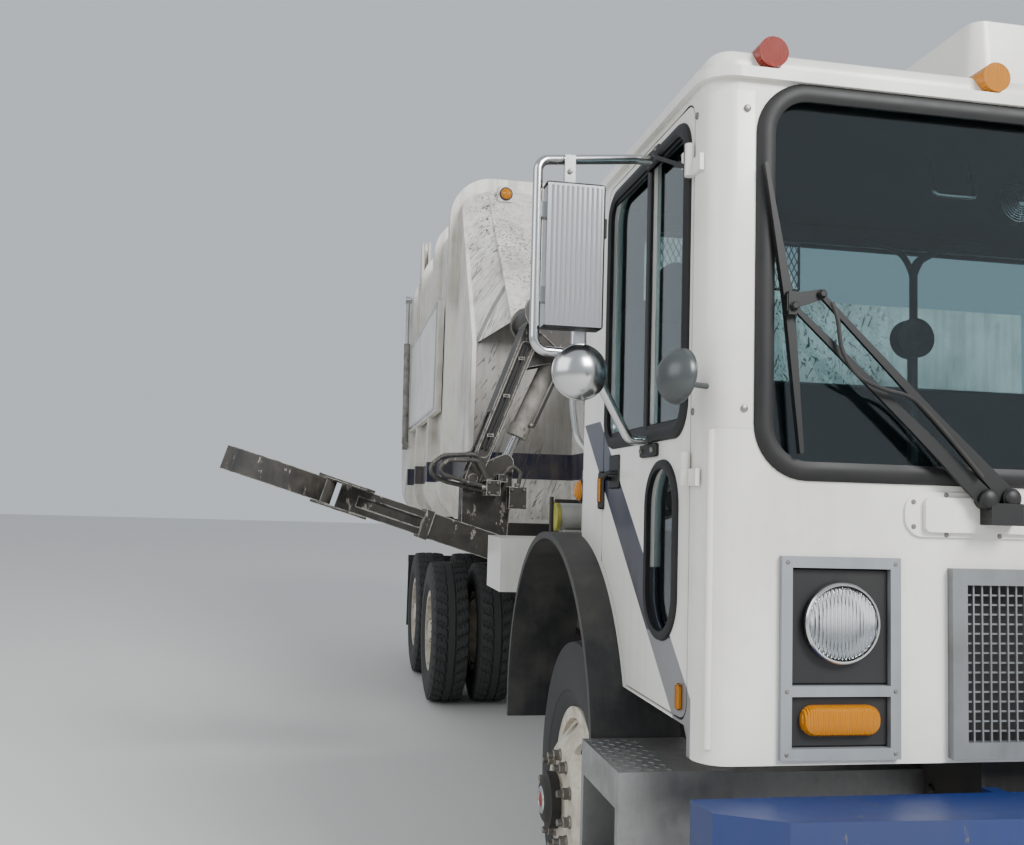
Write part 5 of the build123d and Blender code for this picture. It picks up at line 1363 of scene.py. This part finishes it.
@dataclass
class Tyre:
    """One tyre with sidewall rings and a tread cut by a function of angle and width."""

    centre: tuple[float, float, float]
    tread: Tread
    radius: float = 525.0
    seat: float = 286.3
    half_width: float = 138.0
    turns: int = 216
    tread_foot: float = 490.0
    rib_grooves: tuple[float, float, float, float] = (-72.0, -25.0, 25.0, 72.0)
    rib_depth: float = 11.0
    lug_depth: float = 14.0
    middle_depth: float = 12.0

    def skin(self) -> Skin:
        """Returns the closed ring.

        The profile is a list of (distance from the middle, radius). Above tread_foot the tread lowers the
        radius: ribs by four straight grooves whose edges zigzag with the angle, lugs by slanted grooves at
        the shoulders and a straight one each side of the middle.

        Returns:
            The tyre in truck millimetres.
        """
        h, top = self.half_width, self.radius
        side = [(-106, self.seat), (-106, 301), (-118, 322), (-129, 345), (-130.5, 352), (-135, 356),
                (-137.5, 385), (-h, 405), (-137.5, 425), (-135.5, 440), (-134, 446), (-134, 452),
                (-131.5, 462), (-128, 480), (-124, 494)]
        across = np.linspace(-118, 118, 45)
        crown = top - 1.0 - 9.0 * np.abs(across / 118.0) ** 3.2
        left = np.array(side, float)
        right = left[::-1] * np.array([-1.0, 1.0])
        profile = np.vstack([left, np.column_stack([across, crown]), right])
        angle = 2 * np.pi * np.arange(self.turns) / self.turns
        a, r = profile[None, :, 0], np.repeat(profile[None, :, 1], self.turns, axis=0)
        t = angle[:, None]
        if self.tread is Tread.RIB:
            zig = 2.2 * np.sign(np.sin(54 * t))
            cut = sum(self.rib_depth * (np.abs(a - c - zig) < 5.4) for c in self.rib_grooves)
        else:
            slant = np.sin(36 * t + np.abs(a) * 0.035)
            lugs = (slant > 0.45) & (np.abs(a) > 34)
            middle = np.abs(np.abs(a) - 30.0) < 4.5
            cut = self.lug_depth * lugs + self.middle_depth * middle
        shoulder = (np.abs(a) <= 124.5) & (r > self.tread_foot)
        r = r - np.where(shoulder, cut, 0.0)
        cx, cy, cz = self.centre
        x = np.repeat(cx + a, self.turns, axis=0)
        points = np.stack([x, cy + r * np.cos(t), cz + r * np.sin(t)], axis=-1)
        return grid(points, wrap_u=True, wrap_v=True)


@dataclass
class Wheels:
    """Tyres, discs, nuts and hub fittings."""

    front_y: float = 1204.0
    rear_ys: tuple[float, float] = (5650.0, 6970.0)
    axle_z: float = 525.0
    front_x: float = -1025.0
    rear_xs: tuple[float, float] = (-745.0, -1080.0)
    stud_circle: float = 142.9
    camber: float = 0.5
    stud_turn: float = 4.5
    front_nut_depth: float = 168.0
    front_cap_depth: float = 225.0
    rear_nut_x: float = -936.0
    rear_cap_x: float = -1189.0
    rear_flange_x: float = -1176.0
    flange_circle: float = 83.0

    def _leaned(self, skin: Skin) -> Skin:
        """Returns a curb-side front wheel's piece leaned out at its top by the camber, about its middle.

        Args:
            skin: A piece of the curb-side front wheel.
        Returns:
            The leaned piece.
        """
        c, s = math.cos(math.radians(self.camber)), math.sin(math.radians(self.camber))
        matrix = np.array([[c, 0.0, -s], [0.0, 1.0, 0.0], [s, 0.0, c]])
        return skin.turned(matrix, (self.front_x, self.front_y, self.axle_z))

    def build(self, shop: Workshop) -> None:
        """Replaces the plain tyres and adds the fittings of every wheel.

        Args:
            shop: Where the pieces go.
        """
        for side in Side:
            word = side.word
            front = self._leaned(Tyre((self.front_x, self.front_y, self.axle_z), Tread.RIB).skin())
            shop.add(f"front_tyre_{word}", front.on(side), TYRE_RUBBER, f"wheel_front_{word}", "tyre_rubber",
                     replaces=(f"tyre_front_{word}",))
            shop.dress(f"rim_front_{word}", RIM_ENAMEL)
            body = f"wheel_front_{word}"
            # As in the part's source, the two front wheels stand a quarter of a stud step apart
            nut_face = (self.front_x - self.front_nut_depth, self.front_y, self.axle_z)
            nuts = self._leaned(self._nuts(nut_face, side.value * math.radians(self.stud_turn)))
            shop.add(f"front_nuts_{word}", nuts.on(side), STEEL_NUT, body, "bezel_grey")
            cap_face = (self.front_x - self.front_cap_depth, self.front_y, self.axle_z)
            cap, ring_skin, plug = (self._leaned(skin) for skin in self._hub_cap(cap_face))
            shop.add(f"hub_cap_{word}", cap.on(side), CHASSIS_BLACK, body, "chassis_black")
            shop.add(f"hub_ring_{word}", ring_skin.on(side), STAINLESS, body, "bezel_grey")
            shop.add(f"hub_plug_{word}", plug.on(side), RED_PLUG, body, "amber_lens")
            for axle, y in zip(("forward", "rear"), self.rear_ys):
                body = f"wheels_{axle}_{word}"
                twins = joined(Tyre((x, y, self.axle_z), Tread.LUG).skin() for x in self.rear_xs)
                shop.add(f"twin_tyres_{axle}_{word}", twins.on(side), TYRE_RUBBER, body, "tyre_rubber",
                         replaces=(f"tyres_{axle}_{word}",))
                shop.dress(f"rims_{axle}_{word}", RIM_ENAMEL)
                nuts = self._nuts((self.rear_nut_x, y, self.axle_z))
                cap = turned(((-3, 74), (2, 74), (9, 66), (10, 20), (13, 18)),
                             (self.rear_cap_x, y, self.axle_z), (-1, 0, 0), 32)
                bolt = button((self.rear_flange_x, y, self.axle_z + self.flange_circle), (-1, 0, 0), 8, 16, 6)
                bolts = bolt.spun((self.rear_flange_x, y, self.axle_z), 8)
                shop.add(f"rear_nuts_{axle}_{word}", joined((nuts, bolts)).on(side), STEEL_NUT, body,
                         "bezel_grey")
                shop.add(f"rear_caps_{axle}_{word}", cap.on(side), RIM_ENAMEL, body, "rim_cream")

    def _nuts(self, face: tuple[float, float, float], start: float = 0.0) -> Skin:
        """Ten flanged nuts on the stud circle from a start angle: washer cone, hexagon and the stud's end.

        Args:
            face: Middle of the face that the washers rest on.
            start: The first nut's angle from the top.
        Returns:
            The nuts of one wheel.
        """
        x, y, z = face
        top = (x, y, z + self.stud_circle)
        washer = turned(((-1, 21), (3, 21), (7, 17)), top, (-1, 0, 0), 16)
        hexagon = turned(((5, 18.5), (24, 18.5), (27, 15.5)), top, (-1, 0, 0), 6)
        stud = turned(((25, 11.5), (43, 11.5), (45, 9.5)), top, (-1, 0, 0), 12)
        return joined((washer, hexagon, stud)).spun((x, y, z), 10, start)

    @staticmethod
    def _hub_cap(face: tuple[float, float, float]) -> tuple[Skin, Skin, Skin]:
        """The oil cap of a steered wheel: a dark stepped cup, a bright clamp ring and a red plug.

        Args:
            face: The point on the axle that the distances count from.
        Returns:
            The cup, the ring and the plug.
        """
        cup = turned(((-40, 92), (-8, 90), (-6, 78), (2, 70), (7, 62), (8, 20)), face, (-1, 0, 0), 40)
        bright = turned(((3, 44), (9, 44), (13, 40), (13, 30), (9, 27)), face, (-1, 0, 0), 36)
        plug = dome((face[0] - 8, face[1], face[2]), (-1, 0, 0), 24, 9, 24)
        return cup, bright, plug


@dataclass
class Undercarriage:
    """Rails, axles, tanks, steps, fenders and bumper."""

    step_y: tuple[float, float] = (205.0, 560.0)
    step_x: tuple[float, float] = (-1290.0, -1160.0)
    step_top: float = 870.0
    bar_pitch: float = 24.0
    strap_ys: tuple[float, float] = (2330.0, 3170.0)
    strap_r: float = 291.5
    tank_centre: tuple[float, float] = (760.0, 760.0)
    rail_x: float = -430.0
    rail_y: tuple[float, float] = (260.0, 8000.0)
    rail_bolt_zs: tuple[float, float] = (800.0, 955.0)
    rail_bolt_pitch: float = 265.0

    def build(self, shop: Workshop) -> None:
        """Dresses the carried nodes and adds tread plate, straps, caps and bolts.

        Args:
            shop: Where the pieces go.
        """
        for node in ("frame_rails", "front_axle", "rear_axles", "knuckle_right", "knuckle_left",
                     "body_sills"):
            shop.dress(node, CHASSIS_BLACK)
        shop.dress("engine", ENGINE_IRON)
        shop.dress("front_bumper", BUMPER_BLUE)
        shop.dress("tanks", TANK_PAINT)
        shop.dress("side_box", CAB_ENAMEL)
        shop.dress("steps", TREAD_PLATE)
        shop.dress("fenders", FENDER_RUBBER)
        self._tread(shop)
        straps = joined(self._strap(y) for y in self.strap_ys)
        shop.add("tank_straps", straps, STAINLESS, "chassis", "mirror_aluminium")
        cap = turned(((-6, 48), (16, 48), (22, 42)), (902, 2440, 1006), (0.5, 0, 0.86), 24)
        shop.add("fuel_cap", cap, BLACK_PLASTIC, "chassis", "wiper_black")
        end = turned(((-14, 61), (1, 61), (7, 54), (8, 20)), (-1092, 1850, 1461), (-1, 0, 0), 36)
        shop.add("reservoir_cap", end, RESERVOIR_CAP, "chassis", "tank_grey")
        bracket = joined((block((-1112, 1836, 1380), (-1100, 1864, 1540), 3),
                          block((-1106, 1790, 1515), (-980, 1800, 1530), 3)))
        shop.add("reservoir_bracket", bracket, CHASSIS_BLACK, "chassis", "chassis_black")
        bolt_ys = np.arange(*self.rail_y, self.rail_bolt_pitch)
        bolts = np.array([(0, y, z) for y in bolt_ys for z in self.rail_bolt_zs])
        heads = button((self.rail_x, 0, 0), (-1, 0, 0), 13, 9, 6).copies(bolts)
        for side in Side:
            shop.add(f"rail_bolts_{side.word}", heads.on(side), CHASSIS_BLACK, "chassis", "chassis_black")

    def _tread(self, shop: Workshop) -> None:
        """Adds the step's tread bars: short lens shapes, turned a quarter at every other place.

        Args:
            shop: Where the pieces go.
        """
        t = np.linspace(0, 1, 5)[:, None]
        s = np.linspace(-1, 1, 3)[None]
        half = 11.0 * (2 * t - 1)
        swell = 3.2 * np.sin(np.pi * np.clip(t, 0.03, 0.97))
        bar = np.stack([half + 0 * s, swell * s, 1.6 * (1 - s**2) * np.sin(np.pi * t)], axis=-1)
        base = grid(bar)
        c = math.sqrt(0.5)
        one = base.turned(np.array([[c, -c, 0], [c, c, 0], [0, 0, 1]]))
        two = base.turned(np.array([[c, c, 0], [-c, c, 0], [0, 0, 1]]))
        xs = np.arange(self.step_x[0] + 14, self.step_x[1] + 8, self.bar_pitch)
        ys = np.arange(self.step_y[0] + 16, self.step_y[1] - 8, self.bar_pitch)
        gx, gy = np.meshgrid(xs, ys, indexing="ij")
        odd = (np.arange(len(xs))[:, None] + np.arange(len(ys))[None]) % 2 == 0
        top = self.step_top + 0.2
        spots = np.stack([gx, gy, np.full(gx.shape, top)], axis=-1)
        bars = joined((one.copies(spots[odd]), two.copies(spots[~odd])))
        # The outer face carries the same bars, set upright
        gz, gy2 = np.meshgrid(np.arange(456, 560, self.bar_pitch), ys, indexing="ij")
        upright = np.array([[0, 0, -1], [0, 1, 0], [1, 0, 0]], float)
        odd2 = (np.arange(gz.shape[0])[:, None] + np.arange(len(ys))[None]) % 2 == 0
        wall = np.stack([np.full(gz.shape, self.step_x[0] - 0.2), gy2, gz], axis=-1)
        faces = joined((one.turned(upright).copies(wall[odd2]), two.turned(upright).copies(wall[~odd2])))
        for side in Side:
            shop.add(f"tread_bars_{side.word}", joined((bars, faces)).on(side), TREAD_PLATE, "chassis",
                     "tread_plate")

    def _strap(self, y: float) -> Skin:
        """A steel band round the fuel tank: a thin oblong section carried round a circle.

        Args:
            y: The band's place along the truck.
        Returns:
            The closed band.
        """
        loop = ring(self.strap_r, 48)
        x, z = self.tank_centre
        path = np.column_stack([x + loop[:, 0], np.full(48, y), z + loop[:, 1]])
        return sweep(path, np.array([[-2.0, -22], [2.5, -22], [2.5, 22], [-2.0, 22]]), True, (0, 1, 0))


@dataclass
class Body:
    """The refuse body, its hopper and its tailgate."""

    sign_x: float = -1237.0
    sign_y: tuple[float, float] = (5450.0, 7780.0)
    sign_z: tuple[float, float] = (2200.0, 3030.0)
    tail_foot: tuple[float, float] = (8388.0, 1345.0)
    tail_knee: tuple[float, float] = (8758.0, 1900.0)
    tail_lamp_x: float = 860.0
    tail_lamp_steps: tuple[float, float] = (230.0, 380.0)
    hood_lamp: tuple[float, float, float] = (-862.0, 4680.0, 3672.0)

    def build(self, shop: Workshop) -> None:
        """Dresses the shells, the packer and the cylinders, and adds the signs and lamps.

        Args:
            shop: Where the pieces go.
        """
        shop.dress("body_shell", BODY_ENAMEL)
        shop.dress("body_hood", HOOD_ENAMEL)
        shop.dress("hopper", HOPPER_ENAMEL)
        shop.dress("packer", PACKER_STEEL)
        shop.dress("tailgate", TAILGATE_ENAMEL)
        shop.dress("tailgate_barrels", CYLINDER_GREY)
        shop.dress("tailgate_rods", ROD_CHROME)
        self._signs(shop)
        self._hood_lamps(shop)
        self._tail_lamps(shop)

    def _signs(self, shop: Workshop) -> None:
        """Adds a blank white panel in an aluminium frame on each flank.

        Args:
            shop: Where the pieces go.
        """
        x = self.sign_x
        edge = in_side_plane(rounded_loop(self.sign_y, self.sign_z, 12, 3), x)
        rim = ((-24, -2), (-24, 6), (-20, 9), (-4, 9), (0, 5), (0, -2))
        face = block((x + 1, self.sign_y[0] + 20, self.sign_z[0] + 20),
                     (x - 2, self.sign_y[1] - 20, self.sign_z[1] - 20), 1)
        for side in Side:
            shop.add(f"sign_frame_{side.word}", trim(edge, (-1, 0, 0), rim).on(side), STAINLESS, "chassis",
                     "mirror_aluminium")
            shop.add(f"sign_face_{side.word}", face.on(side), SIGN_WHITE, "chassis", "body_white")

    def _hood_lamps(self, shop: Workshop) -> None:
        """Adds the two round amber lamps on their boxes at the head of the sloping front.

        Args:
            shop: Where the pieces go.
        """
        x, y, z = self.hood_lamp
        # A thin gusset that runs down from the box's outer edge
        gusset = np.array([[(x - 54, y + 8, z - 56), (x - 46, y + 8, z - 56),
                            (x - 46, y + 60, z - 56), (x - 54, y + 60, z - 56)],
                           [(x - 54, y - 10, z - 190), (x - 50, y - 10, z - 190),
                            (x - 50, y + 6, z - 190), (x - 54, y + 6, z - 190)]])
        box = joined((
            block((x - 54, y, z - 58), (x + 50, y + 90, z + 54), 4),
            grid(gusset, wrap_v=True, cap=True),
        ))
        lens = dome((x, y - 4, z), (0, -1, 0), 40, 22, 28)
        rim = turned(((-2, 47), (7, 47), (9, 42)), (x, y, z), (0, -1, 0), 28)
        for side in Side:
            shop.add(f"hood_lamp_box_{side.word}", box.on(side), HOOD_ENAMEL, "chassis", "body_white")
            shop.add(f"hood_lamp_rim_{side.word}", rim.on(side), BLACK_PLASTIC, "chassis", "wiper_black")
            shop.add(f"hood_lamp_{side.word}", lens.on(side), AMBER_LENS, "chassis", "amber_lens")

    def _tail_lamps(self, shop: Workshop) -> None:
        """Adds two round lamps a side on the tailgate's lower slope, each in a rubber ring.

        Args:
            shop: Where the pieces go.
        """
        foot, knee = np.array(self.tail_foot), np.array(self.tail_knee)
        along = (knee - foot) / np.linalg.norm(knee - foot)
        out = (0.0, along[1], -along[0])
        rings, lenses = [], []
        for step in self.tail_lamp_steps:
            y, z = foot + along * step
            for sx in (-1, 1):
                seat = np.array([sx * self.tail_lamp_x, y, z])
                rings.append(turned(((-2, 64), (9, 64), (13, 58), (13, 52)), seat, out, 32))
                lenses.append(dome(seat + 9 * np.array(out), out, 53, 16, 32))
        shop.add("tail_lamp_rings", joined(rings), GASKET_RUBBER, "tailgate", "wiper_black")
        shop.add("tail_lamps", joined(lenses), RED_LENS, "tailgate", "amber_lens")


@dataclass
class LiftArm:
    """The lifting arm's finishes, hoses and fittings."""

    arm_y: float = 2900.0
    shoulder: tuple[float, float] = (-985.0, 2465.0)
    wrist: tuple[float, float] = (-1300.0, 1625.0)
    tilt_foot: tuple[float, float] = (-883.0, 2276.0)
    tilt_eye: tuple[float, float] = (-1130.0, 1712.0)
    boom_half: float = 110.0
    port_steps: tuple[float, float] = (70.0, 385.0)
    ring_steps: tuple[float, float] = (44.0, 446.0)

    def build(self, shop: Workshop) -> None:
        """Dresses the arm and adds hoses, clamps, ports, rings, hose ends and bolts.

        Args:
            shop: Where the pieces go.
        """
        for node in ("arm_shoulder", "arm_boom", "finger_front", "finger_rear"):
            shop.dress(node, ARM_STEEL)
        shop.dress("arm_head", HEAD_STEEL)
        shop.dress("tilt_barrel", CYLINDER_GREY)
        shop.dress("tilt_rod", ROD_CHROME)
        self._boom_pipes(shop)
        self._barrel_fittings(shop)
        self._head_fittings(shop)

    def _along(self, share: float, lift: float, y: float) -> Array:
        """Returns the point at a share of the way from shoulder to wrist, lifted across the boom, at y.

        Args:
            share: 0 at the shoulder and 1 at the wrist.
            lift: Distance across the boom.
            y: Place along the truck.
        Returns:
            The point.
        """
        foot, head = np.array(self.shoulder), np.array(self.wrist)
        way = (head - foot) / np.linalg.norm(head - foot)
        x, z = foot + share * (head - foot) + lift * np.array([-way[1], way[0]])
        return np.array([x, y, z])

    def _boom_pipes(self, shop: Workshop) -> None:
        """Adds two hoses with their clamps along the boom's front panel.

        Args:
            shop: Where the pieces go.
        """
        y = self.arm_y - self.boom_half + 8
        pipes = [tube(np.array([self._along(s, lift, y) for s in (0.2, 0.5, 0.82)]), 6.5, 10)
                 for lift in (-11.0, 9.0)]
        clamps = [block(self._along(s, 0, y) - [17, 8, 9], self._along(s, 0, y) + [17, 6, 9], 2)
                  for s in (0.27, 0.5, 0.74)]
        shop.add("boom_pipes", joined(pipes), HOSE_RUBBER, "arm_boom", "wiper_black")
        shop.add("boom_clamps", joined(clamps), HEAD_STEEL, "arm_boom", "bezel_grey")

    def _barrel_fittings(self, shop: Workshop) -> None:
        """Adds the ports, the hose beside the barrel and its end rings, all laid out along the cylinder.

        Args:
            shop: Where the pieces go.
        """
        foot = np.array([self.tilt_foot[0], self.arm_y, self.tilt_foot[1]])
        eye = np.array([self.tilt_eye[0], self.arm_y, self.tilt_eye[1]])
        way = (eye - foot) / np.linalg.norm(eye - foot)
        side_way = np.cross(way, (0.0, 1.0, 0.0))
        outward = side_way if side_way[0] > 0 else -side_way
        front = np.array([0.0, -1.0, 0.0])
        lean = 0.75 * outward + 0.66 * front
        near, far = self.port_steps
        ports = [turned(((-4, 15), (16, 15), (18, 13), (30, 12)), foot + way * step + lean * 44, lean, 6)
                 for step in self.port_steps]
        off = lean * 72
        pipe = tube(bent_path([foot + way * near + off, foot + way * (near + 26) + off * 1.02,
                               foot + way * (far - 25) + off * 1.02, foot + way * far + off], 10), 7, 10)
        rings = [turned(((-5, 51), (5, 51), (7, 49)), foot + way * step, way, 40) for step in self.ring_steps]
        shop.add("barrel_ports", joined(ports), STEEL_NUT, "tilt_barrel", "bezel_grey")
        shop.add("barrel_pipe", pipe, HOSE_RUBBER, "tilt_barrel", "wiper_black")
        shop.add("barrel_rings", joined(rings), CYLINDER_GREY, "tilt_barrel", "cylinder_grey")

    def _head_fittings(self, shop: Workshop) -> None:
        """Adds the hoses' end fittings and the bolts of the two valve blocks.

        Args:
            shop: Where the pieces go.
        """
        y = self.arm_y
        ends = [turned(((-18, 13), (14, 13), (16, 15.5), (30, 15.5)), place, way, 12) for place, way in (
            ((-1208, y - 132, 1600), (-0.3, 0, 0.95)), ((-1222, y - 132, 1561), (-1, 0, 0)),
            ((-1218, y - 160, 1597), (-0.3, 0, 0.95)), ((-1232, y - 160, 1581), (-1, 0, 0)),
            ((-1074, y - 105, 1578), (0, 0, 1)),
        )]
        heads = joined(button((x, y - 176, z), (0, -1, 0), 9, 7, 6)
                       for x in (-1226, -1184) for z in (1558, 1606))
        more = joined(button((x, y - 131, z), (0, -1, 0), 8, 7, 6)
                      for x in (-1104, -1044) for z in (1494, 1576))
        shop.add("hose_ends", joined(ends), STEEL_NUT, "arm_head", "bezel_grey")
        shop.add("valve_bolts", joined((heads, more)), STEEL_NUT, "arm_head", "bezel_grey")


@dataclass
class Wipers:
    """The pantograph wipers' rubber, washer hoses and caps."""

    blade_top: tuple[float, float] = (-1032.0, 2314.0)
    blade_mid: tuple[float, float] = (-972.0, 1988.0)
    blade_foot: tuple[float, float] = (-940.0, 1643.0)

    def build(self, shop: Workshop) -> None:
        """Dresses the carried wipers and adds their small pieces on both sides.

        Args:
            shop: Where the pieces go.
        """
        shop.dress("wipers", BLACK_PLASTIC)
        path = smooth_path([(x, -19, z) for x, z in (self.blade_top, self.blade_mid, self.blade_foot)], 12)
        squeegee = sweep(path, np.array([[-3.0, -4], [3.0, -4], [1.2, 4], [-1.2, 4]]), False, (0, 1, 0))
        hose = tube(smooth_path(((-880, -56, 1990), (-868, -60, 1950), (-855, -58, 1880), (-818, -60, 1824),
                                 (-758, -60, 1796), (-690, -60, 1780), (-640, -58, 1745), (-560, -58, 1664),
                                 (-500, -57, 1600)), 8), 5, 8)
        caps = joined((
            dome((-478, -51, 1548), (0, -1, 0), 25, 14), dome((-418, -51, 1552), (0, -1, 0), 22, 12),
            button((-968, -49, 1978), (0, -1, 0), 10, 7, 6), button((-900, -49, 2010), (0, -1, 0), 10, 7, 6),
        ))
        for side in Side:
            shop.add(f"wiper_rubber_{side.word}", squeegee.on(side), GASKET_RUBBER, "chassis", "wiper_black")
            shop.add(f"washer_hose_{side.word}", hose.on(side), HOSE_RUBBER, "chassis", "wiper_black")
            shop.add(f"wiper_caps_{side.word}", caps.on(side), BLACK_PLASTIC, "chassis", "wiper_black")


@dataclass
class Interior:
    """What shows through the cab's glass."""

    low_fan: tuple[float, float, float] = (-338.0, 500.0, 2022.0)
    high_fan: tuple[float, float, float] = (2.0, 500.0, 2452.0)
    fan_r: float = 57.0
    tube_foot: tuple[float, float] = (16.0, 1060.0)
    seat_x: float = 830.0
    seat_half: float = 205.0
    seat_y: float = 989.0
    seat_z: tuple[float, float] = (1610.0, 2120.0)

    def build(self, shop: Workshop) -> None:
        """Dresses the seats and adds fan cages, the branched tube, a visor bar, seat piping and dials.

        Args:
            shop: Where the pieces go.
        """
        shop.dress("cab_interior", INTERIOR_VINYL)
        shop.add("low_fan_cage", self._cage(self.low_fan), BLACK_PLASTIC, "chassis", "wiper_black")
        shop.add("high_fan_cage", self._cage(self.high_fan), STAINLESS, "chassis", "bezel_grey")
        x, y = self.tube_foot
        routes = [((x, y, 2300), (x + sx * 8, y, 2370), (x + sx * 60, y, 2440), (x + sx * 190, y, 2472))
                  for sx in (-1, 1)]
        branches = joined(tube(smooth_path(route, 8), 11, 12) for route in routes)
        shop.add("branched_tube", branches, BLACK_PLASTIC, "chassis", "wiper_black")
        bar = tube(bent_path(((-392, 330, 2500), (-389, 300, 2393), (-266, 300, 2393), (-263, 330, 2500)),
                             14), 7, 12)
        shop.add("visor_bar", bar, STAINLESS, "chassis", "bezel_grey")
        middles = (-self.seat_x, self.seat_x)
        loops = [rounded_loop((x - self.seat_half, x + self.seat_half), self.seat_z, 50, 8) for x in middles]
        seams = joined(tube(in_front_plane(loop, self.seat_y), 4, 6) for loop in loops)
        shop.add("seat_piping", seams, GASKET_RUBBER, "chassis", "interior_grey")
        dials = joined(turned(((-2, r), (4, r), (5, r - 3)), (x, 334, 1588 + r * 0.5), (0, 0.8, 0.6), 24)
                       for x, r in ((700, 34), (780, 42), (880, 42), (960, 34)))
        shop.add("instrument_dials", dials, CELL_BLACK, "chassis", "wiper_black")

    def _cage(self, centre: tuple[float, float, float]) -> Skin:
        """A fan's guard on its front: rings and spokes on the bowl 14 (1 - (r / R)^2), and a hub cap.

        Args:
            centre: Middle of the fan.
        Returns:
            The guard.
        """
        c = np.array(centre)
        rings = []
        for share in np.linspace(0.22, 1.0, 8):
            r = share * self.fan_r
            flat = ring(r, 40)
            depth = -24 - 14 * (1 - share**2)
            path = np.column_stack([c[0] + flat[:, 0], np.full(40, c[1] + depth), c[2] + flat[:, 1]])
            rings.append(sweep(path, ring(1.6, 5), True, (0, 1, 0)))
        share = np.linspace(0.15, 1.0, 7)
        for angle in np.arange(12) * np.pi / 6:
            spoke = np.column_stack([c[0] + share * self.fan_r * np.cos(angle),
                                     c[1] - 24 - 14 * (1 - share**2),
                                     c[2] + share * self.fan_r * np.sin(angle)])
            rings.append(tube(spoke, 1.4, 5, (0, 1, 0.01)))
        rings.append(dome(c - [0, 36, 0], (0, -1, 0), 12, 6))
        return joined(rings)


@dataclass
class Studio:
    """The camera at the photograph's place, a pale floor and soft light."""

    eye_mm: tuple[float, float, float] = (-2006.0, -2200.0, 1505.0)
    focal_px: float = 1015.06
    width_px: int = 1024
    right: tuple[float, float, float] = (0.98346, -0.17876, 0.02922)
    down: tuple[float, float, float] = (0.04297, 0.07354, -0.99637)
    ahead: tuple[float, float, float] = (0.17596, 0.98114, 0.08000)
    lamps: tuple[tuple[str, tuple[float, float, float], float, float], ...] = (
        ("key_lamp", (4.0, -9.0, 9.5), 5.0, 2600.0),
        ("fill_lamp", (-9.0, -3.0, 6.0), 7.0, 420.0),
    )
    aim_m: tuple[float, float, float] = (0.0, 2.0, 1.6)
    sky_strength: float = 0.8
    floor_half_m: float = 60.0

    def build(self) -> None:
        """Makes the camera, the floor, the world light and two large soft lamps."""
        scene = bpy.context.scene
        data = bpy.data.cameras.new("photo_camera")
        data.sensor_width, data.lens = 36.0, 36.0 * self.focal_px / self.width_px
        data.clip_start, data.clip_end = 0.05, 200.0
        camera = bpy.data.objects.new("photo_camera", data)
        scene.collection.objects.link(camera)
        axes = np.eye(4)
        axes[:3, 0], axes[:3, 1], axes[:3, 2] = self.right, -np.array(self.down), -np.array(self.ahead)
        axes[:3, 3] = np.array(self.eye_mm) / 1000 + TRUCK_ZERO
        camera.matrix_world = Matrix(axes.tolist())
        scene.camera = camera
        self._floor()
        self._light(scene)

    def _floor(self) -> None:
        """A large pale sheet under the truck."""
        mesh = bpy.data.meshes.new("studio_floor")
        e = self.floor_half_m
        mesh.from_pydata([(-e, -e, 0), (e, -e, 0), (e, e, 0), (-e, e, 0)], [], [(0, 1, 2, 3)])
        floor = bpy.data.objects.new("studio_floor", mesh)
        bpy.context.scene.collection.objects.link(floor)
        mesh.materials.append(Finish("pale_studio_floor", "#d9d8d4", 0.8, grime_share=0.0).build())

    def _light(self, scene: bpy.types.Scene) -> None:
        """A soft pale sky and two area lamps, the key lamp high before the nose on the road side.

        Args:
            scene: The scene that the lamps go into.
        """
        world = bpy.data.worlds.new("studio_sky")
        world.use_nodes = True
        world.node_tree.nodes["Background"].inputs["Color"].default_value = linear("#dfe6ee")
        world.node_tree.nodes["Background"].inputs["Strength"].default_value = self.sky_strength
        scene.world = world
        for name, place, size, power in self.lamps:
            lamp = bpy.data.lights.new(name, "AREA")
            lamp.size, lamp.energy = size, power
            body = bpy.data.objects.new(name, lamp)
            scene.collection.objects.link(body)
            spot = np.array(place) + TRUCK_ZERO
            body.location = spot.tolist()
            aim = Vector((TRUCK_ZERO + np.array(self.aim_m) - spot).tolist())
            body.rotation_euler = aim.to_track_quat("-Z", "Y").to_euler()


def main() -> None:
    """Builds every sub-assembly in order."""
    logging.basicConfig(level=logging.INFO, format="%(name)s: %(message)s")
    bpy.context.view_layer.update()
    Studio().build()
    shop = Workshop()
    for assembly in (Cab(), FrontLamps(), Mirrors(), Wheels(), Undercarriage(), Body(), LiftArm(), Wipers(),
                     Interior()):
        assembly.build(shop)
    LOG.info("%d pieces made", len(shop.made))


if __name__ == "__main__":
    main()
